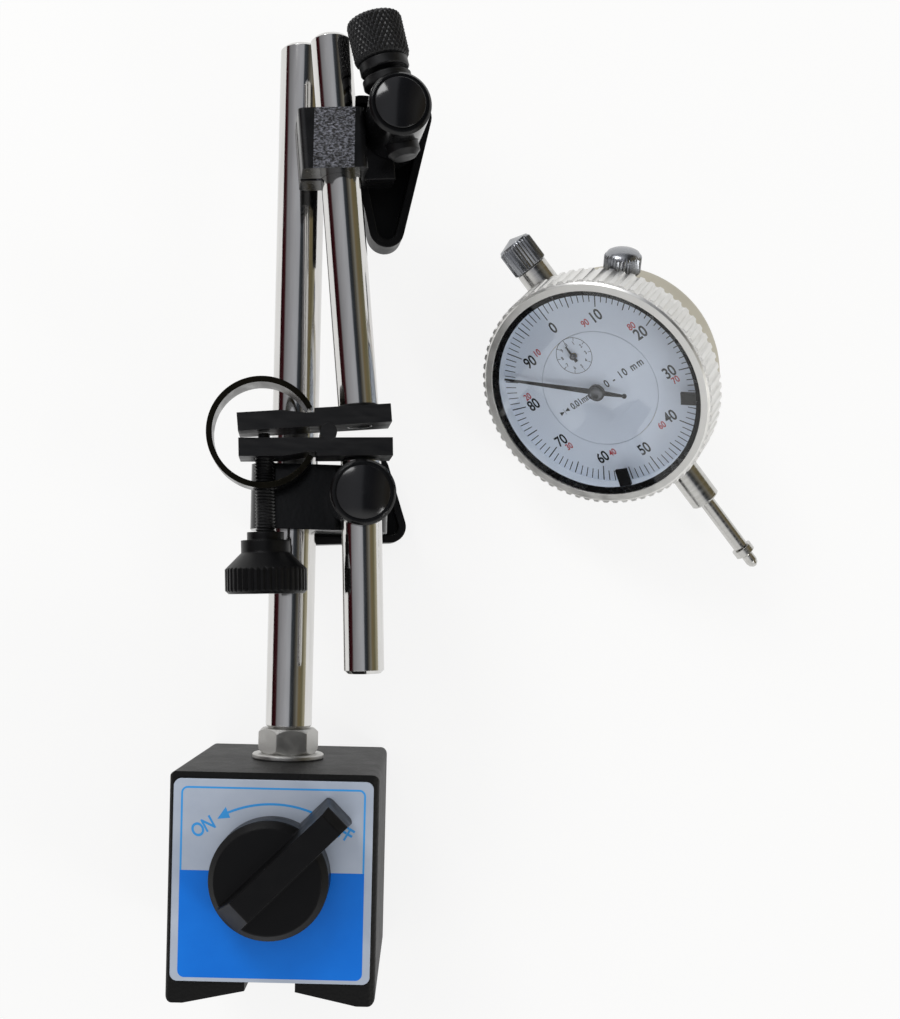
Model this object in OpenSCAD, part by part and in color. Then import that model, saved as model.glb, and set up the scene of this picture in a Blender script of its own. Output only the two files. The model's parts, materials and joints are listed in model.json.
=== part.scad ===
// Dial indicator with its folded magnetic stand, laid flat on a bench.
// The stand lies on the back of its base: +Y runs up the column, +Z points away from the bench.
// The origin is the centre of the base's back face. All lengths are in millimetres.

/* [Magnetic base] */
// Width of the base across its two poles
base_w = 50; // [46:1:60]
// Height of the base, magnet face to top
base_h = 55; // [52:1:64]
// Depth of the base, back to front
base_d = 60; // [54:1:66]
// Radius of the base's outer edges
base_edge_r = 1.8; // [0.5:0.1:2.5]
// Width of the shallow V cut across the magnet face
vee_w = 41.4; // [34:0.2:43]
// Rise of the V from the feet to the slot
vee_rise = 3.1; // [2:0.1:4]
// Width of the non-magnetic strip between the poles
spacer_w = 12; // [11:0.5:14]
// Depth of the slot under the strip
slot_depth = 7; // [5:0.5:8]
// Height of the switch axis above the magnet face
switch_height = 31; // [29:0.5:32]
// Radius of the bore that holds the magnet
rotor_bore_r = 15; // [13:0.5:15.5]
// Running gap around the magnet
rotor_gap = 0.3; // [0.2:0.05:0.6]
// Radius of the magnet's journals
journal_r = 4; // [3:0.25:5]
// Thickness of the two bore covers
cover_t = 4; // [3:0.5:6]
// Thickness of the rear cover behind the magnet's bearing
rear_skin = 1.4; // [1:0.1:2]
// Width of the label plate
label_w = 47.4; // [42:0.2:48]
// Height of the label plate
label_h = 48; // [40:0.5:48]
// Thickness of the label plate
label_t = 0.6; // [0.4:0.1:1]
// Gap from the label's top edge to the base's top
label_drop = 1.6; // [1:0.1:3]

/* [Switch knob] */
// Radius of the knob's disc
knob_r = 14; // [12:0.5:16]
// Thickness of the knob's disc
knob_disc_h = 8; // [6:0.5:10]
// Height of the pointer bar above the disc
knob_bar_h = 7; // [4:0.5:9]
// Width of the pointer bar at its foot
knob_bar_w = 8.5; // [7:0.5:10]
// Width of the pointer bar at its crest
knob_crest_w = 6; // [4:0.5:7]
// Reach of the pointer bar from the switch axis
knob_reach = 23; // [20:0.5:26]
// Direction of the pointer, anticlockwise from +X
knob_angle = 45; // [30:1:60]
// Chamfer of the knob's disc
knob_edge = 1.5; // [0.5:0.1:2.5]
// Gap between the knob and the label
knob_gap = 0.4; // [0.3:0.1:1]

/* [Column] */
// Diameter of the column
column_d = 12; // [10:0.5:13]
// Height of the column's top above the base
column_top = 184.5; // [170:0.5:220]
// Diameter of the column's screwed foot
foot_d = 8; // [6:0.5:9]
// Depth of the screwed foot in the base
foot_depth = 6.5; // [5:0.5:7]
// Width of the lock nut across its flats
nut_af = 13.5; // [12:0.5:17]
// Height of the lock nut
nut_h = 6.5; // [5:0.5:8]
// Turn of the lock nut about the column
nut_turn = 13; // [0:1:59]
// Diameter of the washer
washer_d = 18.5; // [15:0.5:20]
// Thickness of the washer
washer_t = 1.4; // [1:0.1:2]

/* [Cross clamp] */
// Height of the cross clamp's middle above the magnet face
cross_height = 122.5; // [110:0.5:140]
// Swing of the cross clamp about the column
cross_swing = 6; // [0:0.5:10]
// Height of the clamp block along the column
cross_h = 16.6; // [14:0.2:20]
// Wall of the block in front of and behind the column
cross_wall = 3.5; // [3:0.1:3.7]
// Wall of the block beside the column
cross_side = 5; // [4:0.5:7]
// Distance from the column's axis to the sleeve's axis
sleeve_offset = 16.5; // [15:0.5:19]
// Distance of the arm in front of the column
arm_offset = 20; // [20:0.5:24]
// Diameter of the cross clamp's sleeve
sleeve_d = 16; // [15:0.5:18]
// Diameter of the sleeve's spigot in the block
spigot_d = 10; // [8:0.5:11]
// Diameter of the clamp's draw screw
draw_d = 6; // [5:0.5:7]
// Length of the sleeve in front of the rod's axis
sleeve_front = 9; // [8:0.5:12]
// Distance of the cross lever's back from the column's axis
lever_back = 26.7; // [24:0.1:27]
// Width of the saw cut in the clamp blocks
saw_cut = 1.5; // [0.8:0.1:2]

/* [Lever] */
// Reach of a lever's tip from its hub
lever_tip = 27; // [20:0.5:30]
// Distance of the cross lever's wide corners from its hub
cross_lever_corner = 16; // [12:0.5:17]
// Distance of the holder lever's wide corners from its hub
holder_lever_corner = 14; // [12:0.5:15]
// Rounding of a lever's tip and corners
lever_round = 4.5; // [3:0.5:6]
// Thickness of a lever
lever_t = 7; // [5:0.5:8]
// Wall of a lever's rim and floor
lever_wall = 2; // [1.5:0.25:3]
// Direction of the cross lever's tip, anticlockwise from +X
cross_lever_turn = 198; // [190:1:215]
// Direction of the holder lever's tip, anticlockwise from +X
holder_lever_turn = 265; // [262:1:290]

/* [Arm] */
// Diameter of both arm rods
rod_d = 10; // [8:0.5:11]
// Lean of the lower rod, anticlockwise
stub_lean = 2.2; // [0:0.1:4]
// Length of the lower rod below the sleeve's axis
stub_below = 44; // [30:1:60]
// Gap between the sleeve and the lower bar
bar_gap = 1; // [0.6:0.1:4]
// Length of the two bars
bar_l = 37.1; // [35:0.1:42]
// Thickness of the two bars
bar_t = 4.4; // [4:0.1:6]
// Depth of the two bars
bar_d = 13; // [11:0.5:15]
// Overhang of the bars beyond the rods
bar_over = 7.5; // [6.5:0.1:9]
// Distance from the rods to the roller
roller_offset = 8; // [7:0.5:10]
// Diameter of the pivot roller
roller_d = 4.1; // [3.5:0.1:5]
// Opening between the bars at the roller
bar_opening = 2.9; // [2.6:0.1:3.4]
// Lean of the upper rod against the lower one
fine_lean = 3.4; // [2.6:0.1:4]
// Length of the upper rod above its bar
upper_rod_l = 91; // [85:1:110]
// Distance from the rods to the fine screw
screw_offset = 23.6; // [22:0.1:26]
// Diameter of the fine screw
screw_d = 5; // [4:0.5:6]
// Distance of the knob's top below the sleeve's axis
fine_knob_drop = 9; // [8.5:0.5:16]
// Diameter of the fine knob
fine_knob_d = 20; // [16:0.5:20]
// Height of the fine knob
fine_knob_h = 15; // [12:0.5:18]
// Height of the fine knob's grooved rim
fine_rim_h = 6; // [4:0.5:8]
// Radius of the fine knob's neck
fine_neck_r = 6; // [5:0.5:7]
// Number of grooves on the fine knob
fine_grooves = 40; // [24:1:48]
// Outer radius of the C spring
cspring_r = 13.5; // [12:0.25:15]
// Thickness of the C spring's band
cspring_t = 1.4; // [0.8:0.1:1.6]
// Width of the C spring's band
cspring_w = 10; // [8:0.5:12]
// Depth of the notches that hold the C spring
notch_depth = 1; // [0.6:0.1:1.6]

/* [Indicator holder] */
// Height of the holder above the roller, along the upper rod
holder_y = 69.8; // [60:0.2:80]
// Swing of the holder about the upper rod
holder_swing = 2.5; // [0:0.5:4]
// Height of the holder block along the rod
holder_h = 14.5; // [12:0.5:18]
// Wall of the holder block round the rod
holder_wall = 3.5; // [3:0.1:5]
// Distance from the rod's axis to the holder sleeve's axis
holder_offset = 13.6; // [13.2:0.1:16]
// Rise of the sleeve's axis over the block's middle
holder_rise = 5; // [3:0.5:6]
// Diameter of the holder's sleeve
holder_sleeve_d = 15; // [13:0.5:15]
// Length of the holder's sleeve
holder_sleeve_l = 17; // [15.5:0.5:20]
// Turn of the holder's sleeve about its axis, anticlockwise
holder_turn = 9; // [0:0.5:20]
// Diameter of the lug stud
stud_d = 8; // [6:0.5:9]
// Diameter of the knurled lug nut
lug_nut_d = 13.7; // [12:0.1:16]
// Height of the knurled lug nut
lug_nut_h = 10.5; // [8:0.5:13]
// Number of grooves on the lug nut
lug_grooves = 28; // [20:1:36]
// Width left for the indicator's lug between collar and washer
lug_slot = 1.2; // [0.8:0.1:6]

/* [Indicator place] */
// Sideways place of the dial's centre
dial_x = 79; // [74:0.5:90]
// Place of the dial's centre along the column
dial_y = 125.5; // [115:0.5:135]
// Lean of the dial from lying flat
dial_lean = 43.5; // [38:0.5:46]
// Direction of the lean, anticlockwise from +X
dial_azimuth = -128; // [-135:0.5:-118]
// Angle of the stem to the level line across the dial
stem_level = 15.5; // [8:0.5:24]

/* [Indicator case] */
// Outer radius of the case
case_r = 27.2; // [26:0.1:28]
// Height of the bezel in front of the dial
bezel_front = 5.5; // [4.5:0.5:8]
// Height of the bezel behind the dial
bezel_behind = 3.5; // [2.5:0.5:5]
// Number of scallops round the bezel
bezel_scallops = 72; // [48:1:90]
// Depth of a scallop
scallop_depth = 0.55; // [0.3:0.05:0.7]
// Radius of a scallop
scallop_r = 0.8; // [0.6:0.05:1.1]
// Thickness of the bezel round the case
bezel_wall = 3.8; // [3.2:0.1:4.6]
// Width of the bezel's bright front lip
lip_w = 2.8; // [2:0.1:3]
// Width of the black ring round the dial
ring_w = 1.5; // [1:0.1:2.5]
// Radius of the fixed middle of the dial
centre_r = 15.75; // [15:0.05:16.5]
// Depth of the case behind the dial
case_depth = 15.5; // [14:0.5:20]
// Wall of the case
case_wall = 2.2; // [1.6:0.1:3]
// Thickness of the back cover
back_t = 2.5; // [2:0.1:4]
// Step from the case's side in to the back cover
back_step = 1; // [0.2:0.1:1.4]
// Distance of the lug's hole behind the back cover
lug_reach = 14.85; // [11:0.05:16]
// Diameter of the lug's hole
lug_hole_d = 6.5; // [5:0.1:7]
// Radius of the lug's round end
lug_r = 7.5; // [6:0.25:8]
// Thickness of the lug
lug_t = 5; // [4:0.25:6]
// Distance of the stem's axis behind the dial
stem_behind = 9; // [8.5:0.25:10]
// Diameter of the stem
stem_d = 8; // [7:0.5:9.5]
// Distance of the stem's full width from the dial's centre
stem_root = 31.5; // [30:0.5:33]
// Relief of the stem's root under the bezel
stem_relief = 0.25; // [0.1:0.05:0.5]
// Distance of the stem's end from the dial's centre
stem_end = 43; // [38:0.5:46]
// Diameter of the plunger
plunger_d = 4; // [3.5:0.1:4.6]
// Length of the plunger outside the stem
plunger_out = 16.5; // [12.5:0.5:18]
// Travel of the plunger
plunger_travel = 10; // [5:0.5:10]
// Length of the contact point, flange to ball
point_l = 6.5; // [5.5:0.5:12]
// Radius of the contact point's tip
point_r = 1.6; // [1:0.1:2]
// Thickness of the contact point's flange
point_flange = 2; // [1.5:0.1:2.5]
// Diameter of the contact point's flange
point_d = 5.5; // [4.8:0.1:7]
// Diameter of the dust cap
cap_d = 9.3; // [8.8:0.1:11]
// Length of the dust cap's knurled body
cap_l = 7; // [5:0.5:9]
// Number of ribs on the small knurled heads
head_grooves = 24; // [16:1:32]
// Length of the neck under the dust cap
neck_l = 8; // [6:0.5:10]
// Diameter of the neck under the dust cap
neck_d = 8.5; // [7.5:0.1:8.8]
// Angle of the bezel clamp screw, clockwise from the dust cap
clamp_angle = 44; // [38:1:52]

/* [Movement] */
// Pitch of the rack's teeth
rack_pitch = 0.625; // [0.6:0.005:0.65]
// Teeth of the rack pinion
rack_pinion_teeth = 16; // [14:1:18]
// Teeth of the two large wheels
wheel_teeth = 100; // [90:1:104]
// Teeth of the centre pinion
centre_teeth = 10; // [10:1:12]
// Reading of the main hand, in divisions from zero
hand_reading = 86; // [0:1:99]

/* [Hidden] */
$fn = 64;

// Clearances: a running fit on the radius and a gap between moving faces
fit = 0.05;
gap = 0.3;
// Overlap of cuts and joined solids, and the hairline edge of bores and seats
cut = 1;
seat_edge = 0.01;

// Colours, as the object shows them
black_paint = "#26272a";
black_plastic = "#1d1d1f";
black_steel = "#2b2b2d";
chrome = "#c9c8c6";
steel = "#a9abae";
aluminium = "#d2d3d3";
brass = "#c2a14d";
ferrite = "#4a4b4f";
dial_white = "#e9edef";
label_silver = "#c3c7cc";
glass = "#dfe8ec";

// Base places
base_bottom = -base_h / 2;
base_top = base_h / 2;
switch_y = base_bottom + switch_height;
label_y = base_top - label_drop - label_h / 2;
knob_z = base_d + label_t + knob_gap;
knob_h = knob_disc_h + knob_bar_h;
knob_bar_foot = 1;
knob_tip = 2;
column_z = base_d / 2;
washer_y = base_top;
nut_y = washer_y + washer_t;
column_y = nut_y + nut_h;
nut_r = nut_af / 2 / cos(30) + seat_edge;

// Cross clamp places, in the clamp's own frame: the column's axis is Y, the sleeve's axis is along Z
cross_y = base_bottom + cross_height;
cross_front = column_d / 2 + cross_wall;
cross_left = column_d / 2 + cross_side;
sleeve_r = sleeve_d / 2;
sleeve_foot = cross_front + gap;
cap_t = 1.6;
cap_rim = 1.5;
sleeve_edge = 0.6;

// Fine knob details, and the depth of a knurl's groove
fine_edge = 0.8;
fine_neck_l = 5;
fine_seat = 2;
fine_collar_r = screw_d / 2 + 2;
groove_r = 0.45;

// Bar places, in the lower rod's frame: the sleeve's axis is Y = 0
bar_y = sleeve_r + bar_gap;
roller_y = bar_y + bar_t + bar_opening / 2;
bar_left = bar_over - bar_l;
// In the upper rod's frame the roller is the origin
ubar_y = bar_opening / 2;
ubar_left = bar_left + roller_offset;
screw_from_roller = screw_offset - roller_offset;
rod_pin_d = rod_d * 0.6;
notch_x = -3;
notch_l = 8;
screw_top = ubar_y - screw_from_roller * sin(fine_lean) - screw_d / 2 * sin(fine_lean) - gap / 2;

// Holder places, in the holder's own frame: the upper rod's axis is Y
holder_half = rod_d / 2 + holder_wall;
holder_sleeve_r = holder_sleeve_d / 2;
holder_right = holder_offset - holder_sleeve_r - gap / 2;
holder_boss_front = -1;
stud_z = holder_sleeve_l / 2 - 1.5;
collar_h = 2.2;
collar_r = stud_d / 2 + 2;
collar_y = holder_sleeve_r + gap / 2;
washer_h = 2.5;

// Indicator heights, measured from the dial's face along its normal
dial_t = 0.4;
bezel_r = case_r + bezel_wall;
lip_r = bezel_r - lip_w;
window_r = lip_r - ring_w;
glass_hold = 0.4;
pocket_r = lip_r + glass_hold;
back_r = case_r - back_step;
dial_spin = 180 - stem_level;
back_z = -case_depth;
lug_z = back_z - back_t - lug_reach;
// The back rim and the lug stand on the bench at the same height
dial_z = (case_depth + back_t) * cos(dial_lean) + back_r * sin(dial_lean) + gap / 3;
crystal_z = bezel_front - 1.6;
crystal_t = 1.2;
rack_pinion_r = rack_pitch * rack_pinion_teeth / (2 * PI);
tooth_module = rack_pitch / PI;
wheel_distance = tooth_module * (wheel_teeth + centre_teeth) / 2;
wheel_t = 0.5;
upper_plate_z = -1.9;
lower_plate_z = -4.4;
plate_t = 0.8;
plate_w = 26;
pillar_r = 1.2;
pillar_x = plate_w / 2 - 1.4;
pillar_y = sqrt(pow(case_r - case_wall - pillar_r - 2 * gap, 2) - pow(pillar_x, 2));
wheel_z = (lower_plate_z + plate_t + upper_plate_z - wheel_t) / 2;
arbor_r = 0.5;
hand_z = 1.9;
hand_t = 0.3;
hand_l = window_r - 3 * gap;
hand_tail = 8;
hub_r = 2.2;
hub_h = 0.8;
counter_z = 0.6;
counter_l = 3.2;
counter_tail = 1.6;
counter_hub_r = 0.8;
cap_neck_start = case_r - case_wall;
plunger_back = cap_neck_start + neck_l - plunger_travel - 1;
plunger_front = stem_end + plunger_out;
hand_turn = -hand_reading * 360 / 100;
case_below = 1;
bezel_chamfer = 0.5;
boss_r = 2.6;
boss_h = 4;
back_screw_r = 1;
back_head_r = 2;
back_head_t = 1.2;
back_screw_inset = 2.4;
clamp_thread_d = 3;
clamp_head_r = 4.7;
clamp_head_foot = 1.2;
clamp_head_l = 6.6;
clamp_dome = 0.6;
cap_edge = 0.5;
cap_cone = 1.8;
marker_w = 3.2;
marker_t = 0.8;
marker_z = crystal_z - marker_t - gap;
marker_low_turn = -34;
marker_high_turn = -110;

// Shared shapes
module rounded_rectangle(w, h, r) {
    square([w - 2 * r, h], center = true);
    square([w, h - 2 * r], center = true);
    for (x = [-1, 1], y = [-1, 1])
        translate([x * (w / 2 - r), y * (h / 2 - r)]) circle(r);
}

// A turned piece: points are [radius, place along +Y]
module turned_y(points) rotate([-90, 0, 0]) rotate_extrude() polygon(points);

// A turned piece along +Z
module turned_z(points) rotate_extrude() polygon(points);

// A rod along Y with chamfered ends
module rod_y(d, from, to, chamfer = 0.8)
    turned_y([[0, from], [d / 2 - chamfer, from], [d / 2, from + chamfer],
        [d / 2, to - chamfer], [d / 2 - chamfer, to], [0, to]]);

// Straight grooves round a knurled rim, along +Y
module grooves_y(count, rim_r, groove_r, from, to)
    for (i = [0 : count - 1])
        rotate([0, i * 360 / count, 0]) translate([rim_r, from, 0]) rotate([-90, 0, 0])
            cylinder(r = groove_r, h = to - from, $fn = 6);

// Frames that carry the pieces
module on_column() translate([0, 0, column_z]) children();
module at_switch() translate([0, switch_y, 0]) children();
module on_cross() translate([0, cross_y, column_z]) rotate([0, cross_swing, 0]) children();
module on_sleeve() on_cross() translate([sleeve_offset, 0, 0]) rotate([0, 0, stub_lean]) children();
module on_stub() on_sleeve() translate([0, 0, arm_offset]) children();
module on_screw() on_stub() translate([-screw_offset, 0, 0]) children();
module on_upper() on_stub() translate([-roller_offset, roller_y, 0]) rotate([0, 0, fine_lean]) children();
module on_holder() on_upper() translate([roller_offset, holder_y, 0])
    rotate([0, holder_swing, 0]) children();
module on_holder_sleeve() on_holder() translate([holder_offset, holder_rise, 0])
    rotate([0, 0, holder_turn]) children();
module on_stud() on_holder_sleeve() translate([0, 0, stud_z]) children();
module on_dial() translate([dial_x, dial_y, dial_z])
    rotate([0, 0, dial_azimuth]) rotate([0, dial_lean, 0]) rotate([0, 0, dial_spin]) children();
module on_stem() on_dial() translate([0, 0, -stem_behind]) children();
module on_counter() on_dial() translate([0, wheel_distance, 0]) children();
module on_takeup() on_dial() translate([0, -wheel_distance, 0]) children();

// Magnetic base
module base_outline() difference() {
    rounded_rectangle(base_w, base_h, base_edge_r);
    polygon([[-vee_w / 2, base_bottom - cut], [-vee_w / 2, base_bottom],
        [-spacer_w / 2, base_bottom + vee_rise], [-spacer_w / 2, base_bottom + slot_depth],
        [spacer_w / 2, base_bottom + slot_depth], [spacer_w / 2, base_bottom + vee_rise],
        [vee_w / 2, base_bottom], [vee_w / 2, base_bottom - cut]]);
}

module base_block() difference() {
    intersection() {
        linear_extrude(base_d) base_outline();
        translate([0, base_top, base_d / 2]) rotate([90, 0, 0]) linear_extrude(base_h)
            rounded_rectangle(base_w, base_d, base_edge_r);
    }
    at_switch() translate([0, 0, -cut]) cylinder(r = rotor_bore_r, h = base_d + 2 * cut);
}

// One magnet pole, on the side given as -1 or 1
module pole(side) color(black_paint) intersection() {
    base_block();
    translate([side * (spacer_w + base_w) / 2, 0, base_d / 2])
        cube([base_w, 2 * base_h, 2 * base_d], center = true);
}

module pole_left() pole(-1);
module pole_right() pole(1);

// The strip between the poles, above or below the magnet's bore
module spacer(from, to) difference() {
    translate([-spacer_w / 2, from, 0]) cube([spacer_w, to - from, base_d]);
    at_switch() translate([0, 0, -cut]) cylinder(r = rotor_bore_r, h = base_d + 2 * cut);
}

module spacer_top() color(brass) difference() {
    spacer(switch_y + rotor_bore_r / 2, base_top);
    on_column() rod_y(foot_d, base_top - foot_depth, base_top + cut, seat_edge);
}

module spacer_bottom() color(brass) spacer(base_bottom + slot_depth, switch_y - rotor_bore_r / 2);

module magnet_rotor() color(ferrite) at_switch() {
    magnet_r = rotor_bore_r - rotor_gap;
    turned_z([[0, rear_skin + gap], [journal_r, rear_skin + gap], [journal_r, cover_t + gap],
        [magnet_r, cover_t + gap],
        [magnet_r, base_d - cover_t - gap], [journal_r, base_d - cover_t - gap],
        [journal_r, knob_z + knob_disc_h / 2], [0, knob_z + knob_disc_h / 2]]);
}

// A bore cover with the magnet's bearing in it, open at the front or closed at the back
module bore_cover(from, bearing_from) color(steel) at_switch() difference() {
    translate([0, 0, from]) cylinder(r = rotor_bore_r, h = cover_t);
    translate([0, 0, bearing_from]) cylinder(r = journal_r + fit, h = cover_t + 2 * cut);
}

module front_cover() bore_cover(base_d - cover_t, base_d - cover_t - cut);
module rear_cover() bore_cover(0, rear_skin);

module label_plate() color(label_silver) translate([0, label_y, base_d]) difference() {
    linear_extrude(label_t) rounded_rectangle(label_w, label_h, base_edge_r);
    translate([0, switch_y - label_y, -cut]) cylinder(r = journal_r + gap, h = label_t + 2 * cut);
}

// The pointer bar along +X: where its cross-section, its side view and its rounded plan meet
module pointer_bar() intersection() {
    rotate([90, 0, 90]) translate([0, 0, -knob_r - 2 * cut]) linear_extrude(knob_r + knob_reach + 4 * cut)
        polygon([[-knob_bar_w / 2, knob_bar_foot], [knob_bar_w / 2, knob_bar_foot],
            [knob_crest_w / 2, knob_h], [-knob_crest_w / 2, knob_h]]);
    rotate([90, 0, 0]) translate([0, 0, -knob_r]) linear_extrude(2 * knob_r)
        polygon([[-knob_r - cut, 0], [knob_reach + cut, 0], [knob_reach + cut, knob_h - knob_tip - cut],
            [knob_reach - knob_tip - cut, knob_h + cut], [-knob_r / 2, knob_h + cut],
            [-knob_r - cut, knob_disc_h - cut]]);
    translate([(knob_reach - knob_r + knob_edge) / 2, 0, 0]) linear_extrude(knob_h + cut)
        rounded_rectangle(knob_reach + knob_r - knob_edge, knob_bar_w + cut, knob_tip);
}

module switch_knob() color(black_plastic) at_switch() translate([0, 0, knob_z]) difference() {
    union() {
        turned_z([[0, 0], [knob_r, 0], [knob_r, knob_disc_h - knob_edge], [knob_r - knob_edge, knob_disc_h],
            [0, knob_disc_h]]);
        rotate([0, 0, knob_angle]) pointer_bar();
    }
    translate([0, 0, -cut]) cylinder(r = journal_r, h = knob_disc_h / 2 + cut);
}

// Column
module column() color(chrome) on_column() union() {
    rod_y(column_d, column_y, base_top + column_top);
    rod_y(foot_d, base_top - foot_depth, column_y + cut, seat_edge);
}

module column_nut() color(steel) on_column() difference() {
    intersection() {
        rotate([0, nut_turn, 0]) translate([0, nut_y, 0]) rotate([-90, 0, 0])
            cylinder(d = nut_af / cos(30), h = nut_h, $fn = 6);
        rod_y(2 * nut_r, nut_y, nut_y + nut_h, nut_r - nut_af / 2);
    }
    rod_y(foot_d, nut_y - cut, nut_y + nut_h + cut, seat_edge);
}

module column_washer() color(steel) on_column() difference() {
    rod_y(washer_d, washer_y, washer_y + washer_t, 0.3);
    rod_y(foot_d, washer_y - cut, washer_y + washer_t + cut, seat_edge);
}

// Clamps: a block, a sleeve with its spigot and draw screw, a domed cap and a lever
module clamp_sleeve(r, foot, front, spigot_r, back, screw_r, screw_end, rod_r, rod_z) difference() {
    turned_z([[0, screw_end], [screw_r, screw_end], [screw_r, back], [spigot_r, back], [spigot_r, foot],
        [r, foot], [r, front - sleeve_edge], [r - sleeve_edge, front], [r - cap_rim, front],
        [r - cap_rim, front - cap_t], [0, front - cap_t]]);
    translate([0, 0, rod_z]) rotate([90, 0, 0]) cylinder(r = rod_r + fit, h = 3 * r, center = true);
}

module clamp_cap(r, front) {
    dome_r = 2 * r;
    translate([0, 0, front - cap_t]) intersection() {
        cylinder(r = r - cap_rim, h = 2 * cap_t);
        translate([0, 0, 2 * cap_t - dome_r]) sphere(dome_r);
    }
}

module lever_outline(corner, round_r) hull() {
    translate([lever_tip - lever_round, 0]) circle(round_r, $fn = 32);
    for (side = [-1, 1])
        rotate(side * 135) translate([corner - lever_round, 0]) circle(round_r, $fn = 32);
}

module clamp_lever(hub_r, hub_l, screw_r, corner, turn) color(black_plastic) difference() {
    union() {
        rotate([0, 0, turn]) difference() {
            linear_extrude(lever_t) lever_outline(corner, lever_round);
            translate([0, 0, lever_wall]) linear_extrude(lever_t)
                lever_outline(corner, lever_round - lever_wall);
        }
        cylinder(r = hub_r, h = hub_l);
    }
    translate([0, 0, lever_wall]) cylinder(r = screw_r + fit, h = hub_l);
}

module cross_block() color(black_paint) on_cross() difference() {
    translate([0, cross_h / 2, 0]) rotate([90, 0, 0]) linear_extrude(cross_h) {
        translate([(sleeve_offset - cross_left) / 2, 0])
            rounded_rectangle(sleeve_offset + cross_left, 2 * cross_front, cross_front * 0.65);
        translate([sleeve_offset, 0]) circle(sleeve_r);
    }
    rod_y(column_d + 2 * fit, -cross_h, cross_h, seat_edge);
    translate([sleeve_offset, 0, 0]) cylinder(d = spigot_d + 2 * fit, h = 4 * cross_front, center = true);
    translate([0, -cross_h, -saw_cut / 2]) cube([2 * sleeve_offset, 2 * cross_h, saw_cut]);
}

cross_sleeve_front = arm_offset + sleeve_front;
cross_lever_z = -lever_back;
cross_hub_l = lever_back - cross_front - gap;

module cross_sleeve() color(black_paint) on_sleeve()
    clamp_sleeve(sleeve_r, sleeve_foot, cross_sleeve_front, spigot_d / 2, -cross_front, draw_d / 2,
        cross_lever_z + lever_wall + gap, rod_d / 2, arm_offset);

module cross_cap() color(black_plastic) on_sleeve() clamp_cap(sleeve_r, cross_sleeve_front);

module cross_lever() on_cross() translate([sleeve_offset, 0, cross_lever_z])
    clamp_lever(spigot_d / 2 + 1, cross_hub_l, draw_d / 2, cross_lever_corner, cross_lever_turn);

// Arm
module stub_rod() color(chrome) on_stub() union() {
    rod_y(rod_d, -stub_below, bar_y);
    rod_y(rod_pin_d, bar_y - cut, bar_y + bar_t, seat_edge);
}

module bar(left, from) translate([left, from, -bar_d / 2]) cube([bar_l, bar_t, bar_d]);

module lower_bar() color(black_steel) on_stub() difference() {
    bar(bar_left, bar_y);
    rod_y(rod_pin_d, bar_y - cut, bar_y + bar_t + cut, seat_edge);
    translate([-screw_offset, 0, 0]) rod_y(screw_d + 2 * fit, bar_y - cut, bar_y + bar_t + cut, seat_edge);
    translate([-roller_offset, roller_y, -bar_d]) cylinder(d = roller_d, h = 2 * bar_d);
    translate([-roller_offset + notch_x, bar_y + notch_depth, 0])
        rotate([0, 0, 180]) spring_notch();
}

module upper_bar() color(black_steel) on_upper() difference() {
    bar(ubar_left, ubar_y);
    translate([roller_offset, 0, 0]) rod_y(rod_pin_d, ubar_y - cut, ubar_y + bar_t + cut, seat_edge);
    translate([0, 0, -bar_d]) cylinder(r = roller_d / 2 + fit, h = 2 * bar_d);
    translate([notch_x, ubar_y + bar_t - notch_depth, 0]) mirror([1, 0, 0]) spring_notch();
}

// A ramped notch with one upright wall, open upwards
module spring_notch() translate([0, 0, -bar_d]) linear_extrude(2 * bar_d)
    polygon([[0, 0], [0, 2 * notch_depth], [notch_l, 2 * notch_depth], [notch_l, notch_depth],
        [1.5 * cspring_t, 0]]);

module pivot_roller() color(black_steel) on_stub() translate([-roller_offset, roller_y, -bar_d / 2])
    cylinder(d = roller_d, h = bar_d);

// The C spring's ends stand on the notch floors of the two bars
cspring_low = bar_y + notch_depth - gap / 3;
cspring_high = roller_y + ubar_y + bar_t - notch_depth + gap;
cspring_y = (cspring_low + cspring_high) / 2;
cspring_half = (cspring_high - cspring_low) / 2 + cspring_t / 2;
cspring_mid_r = cspring_r - cspring_t / 2;
cspring_end = asin(cspring_half / cspring_mid_r);
cspring_x = -roller_offset + notch_x - cspring_t - cspring_mid_r * cos(cspring_end);

// The fine screw passes through a hole in the band
module c_spring() color(black_steel) on_stub() difference() {
    translate([cspring_x, cspring_y, -cspring_w / 2]) rotate([0, 0, cspring_end])
        rotate_extrude(angle = 360 - 2 * cspring_end)
            translate([cspring_r - cspring_t, 0]) square([cspring_t, cspring_w]);
    translate([-screw_offset, 0, 0])
        rod_y(screw_d + 2 * gap, cspring_y - 2 * cspring_r, cspring_y, seat_edge);
}

module fine_screw() color(black_steel) on_screw() union() {
    rod_y(screw_d, -fine_knob_drop - fine_seat, roller_y + screw_top - cut / 2, 0.3);
    rod_y(screw_d - 2, roller_y + screw_top - cut, roller_y + screw_top, 0.3);
}

module fine_knob() color(black_plastic) on_screw() translate([0, -fine_knob_drop, 0]) difference() {
    knob_half = fine_knob_d / 2;
    rim_top = fine_rim_h - fine_knob_h;
    turned_y([[0, -fine_knob_h], [knob_half - fine_edge, -fine_knob_h],
        [knob_half, fine_edge - fine_knob_h], [knob_half, rim_top], [fine_neck_r, -fine_neck_l],
        [fine_neck_r, -fine_seat], [fine_collar_r, -fine_seat], [fine_collar_r, 0], [0, 0]]);
    rod_y(screw_d + 2 * fit, -fine_seat, cut, seat_edge);
    grooves_y(fine_grooves, knob_half + groove_r / 4, groove_r, -fine_knob_h - cut, rim_top + cut);
}

module upper_rod() color(chrome) on_upper() translate([roller_offset, 0, 0]) union() {
    rod_y(rod_d, ubar_y + bar_t, ubar_y + bar_t + upper_rod_l);
    rod_y(rod_pin_d, ubar_y, ubar_y + bar_t + cut, seat_edge);
}

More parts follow.
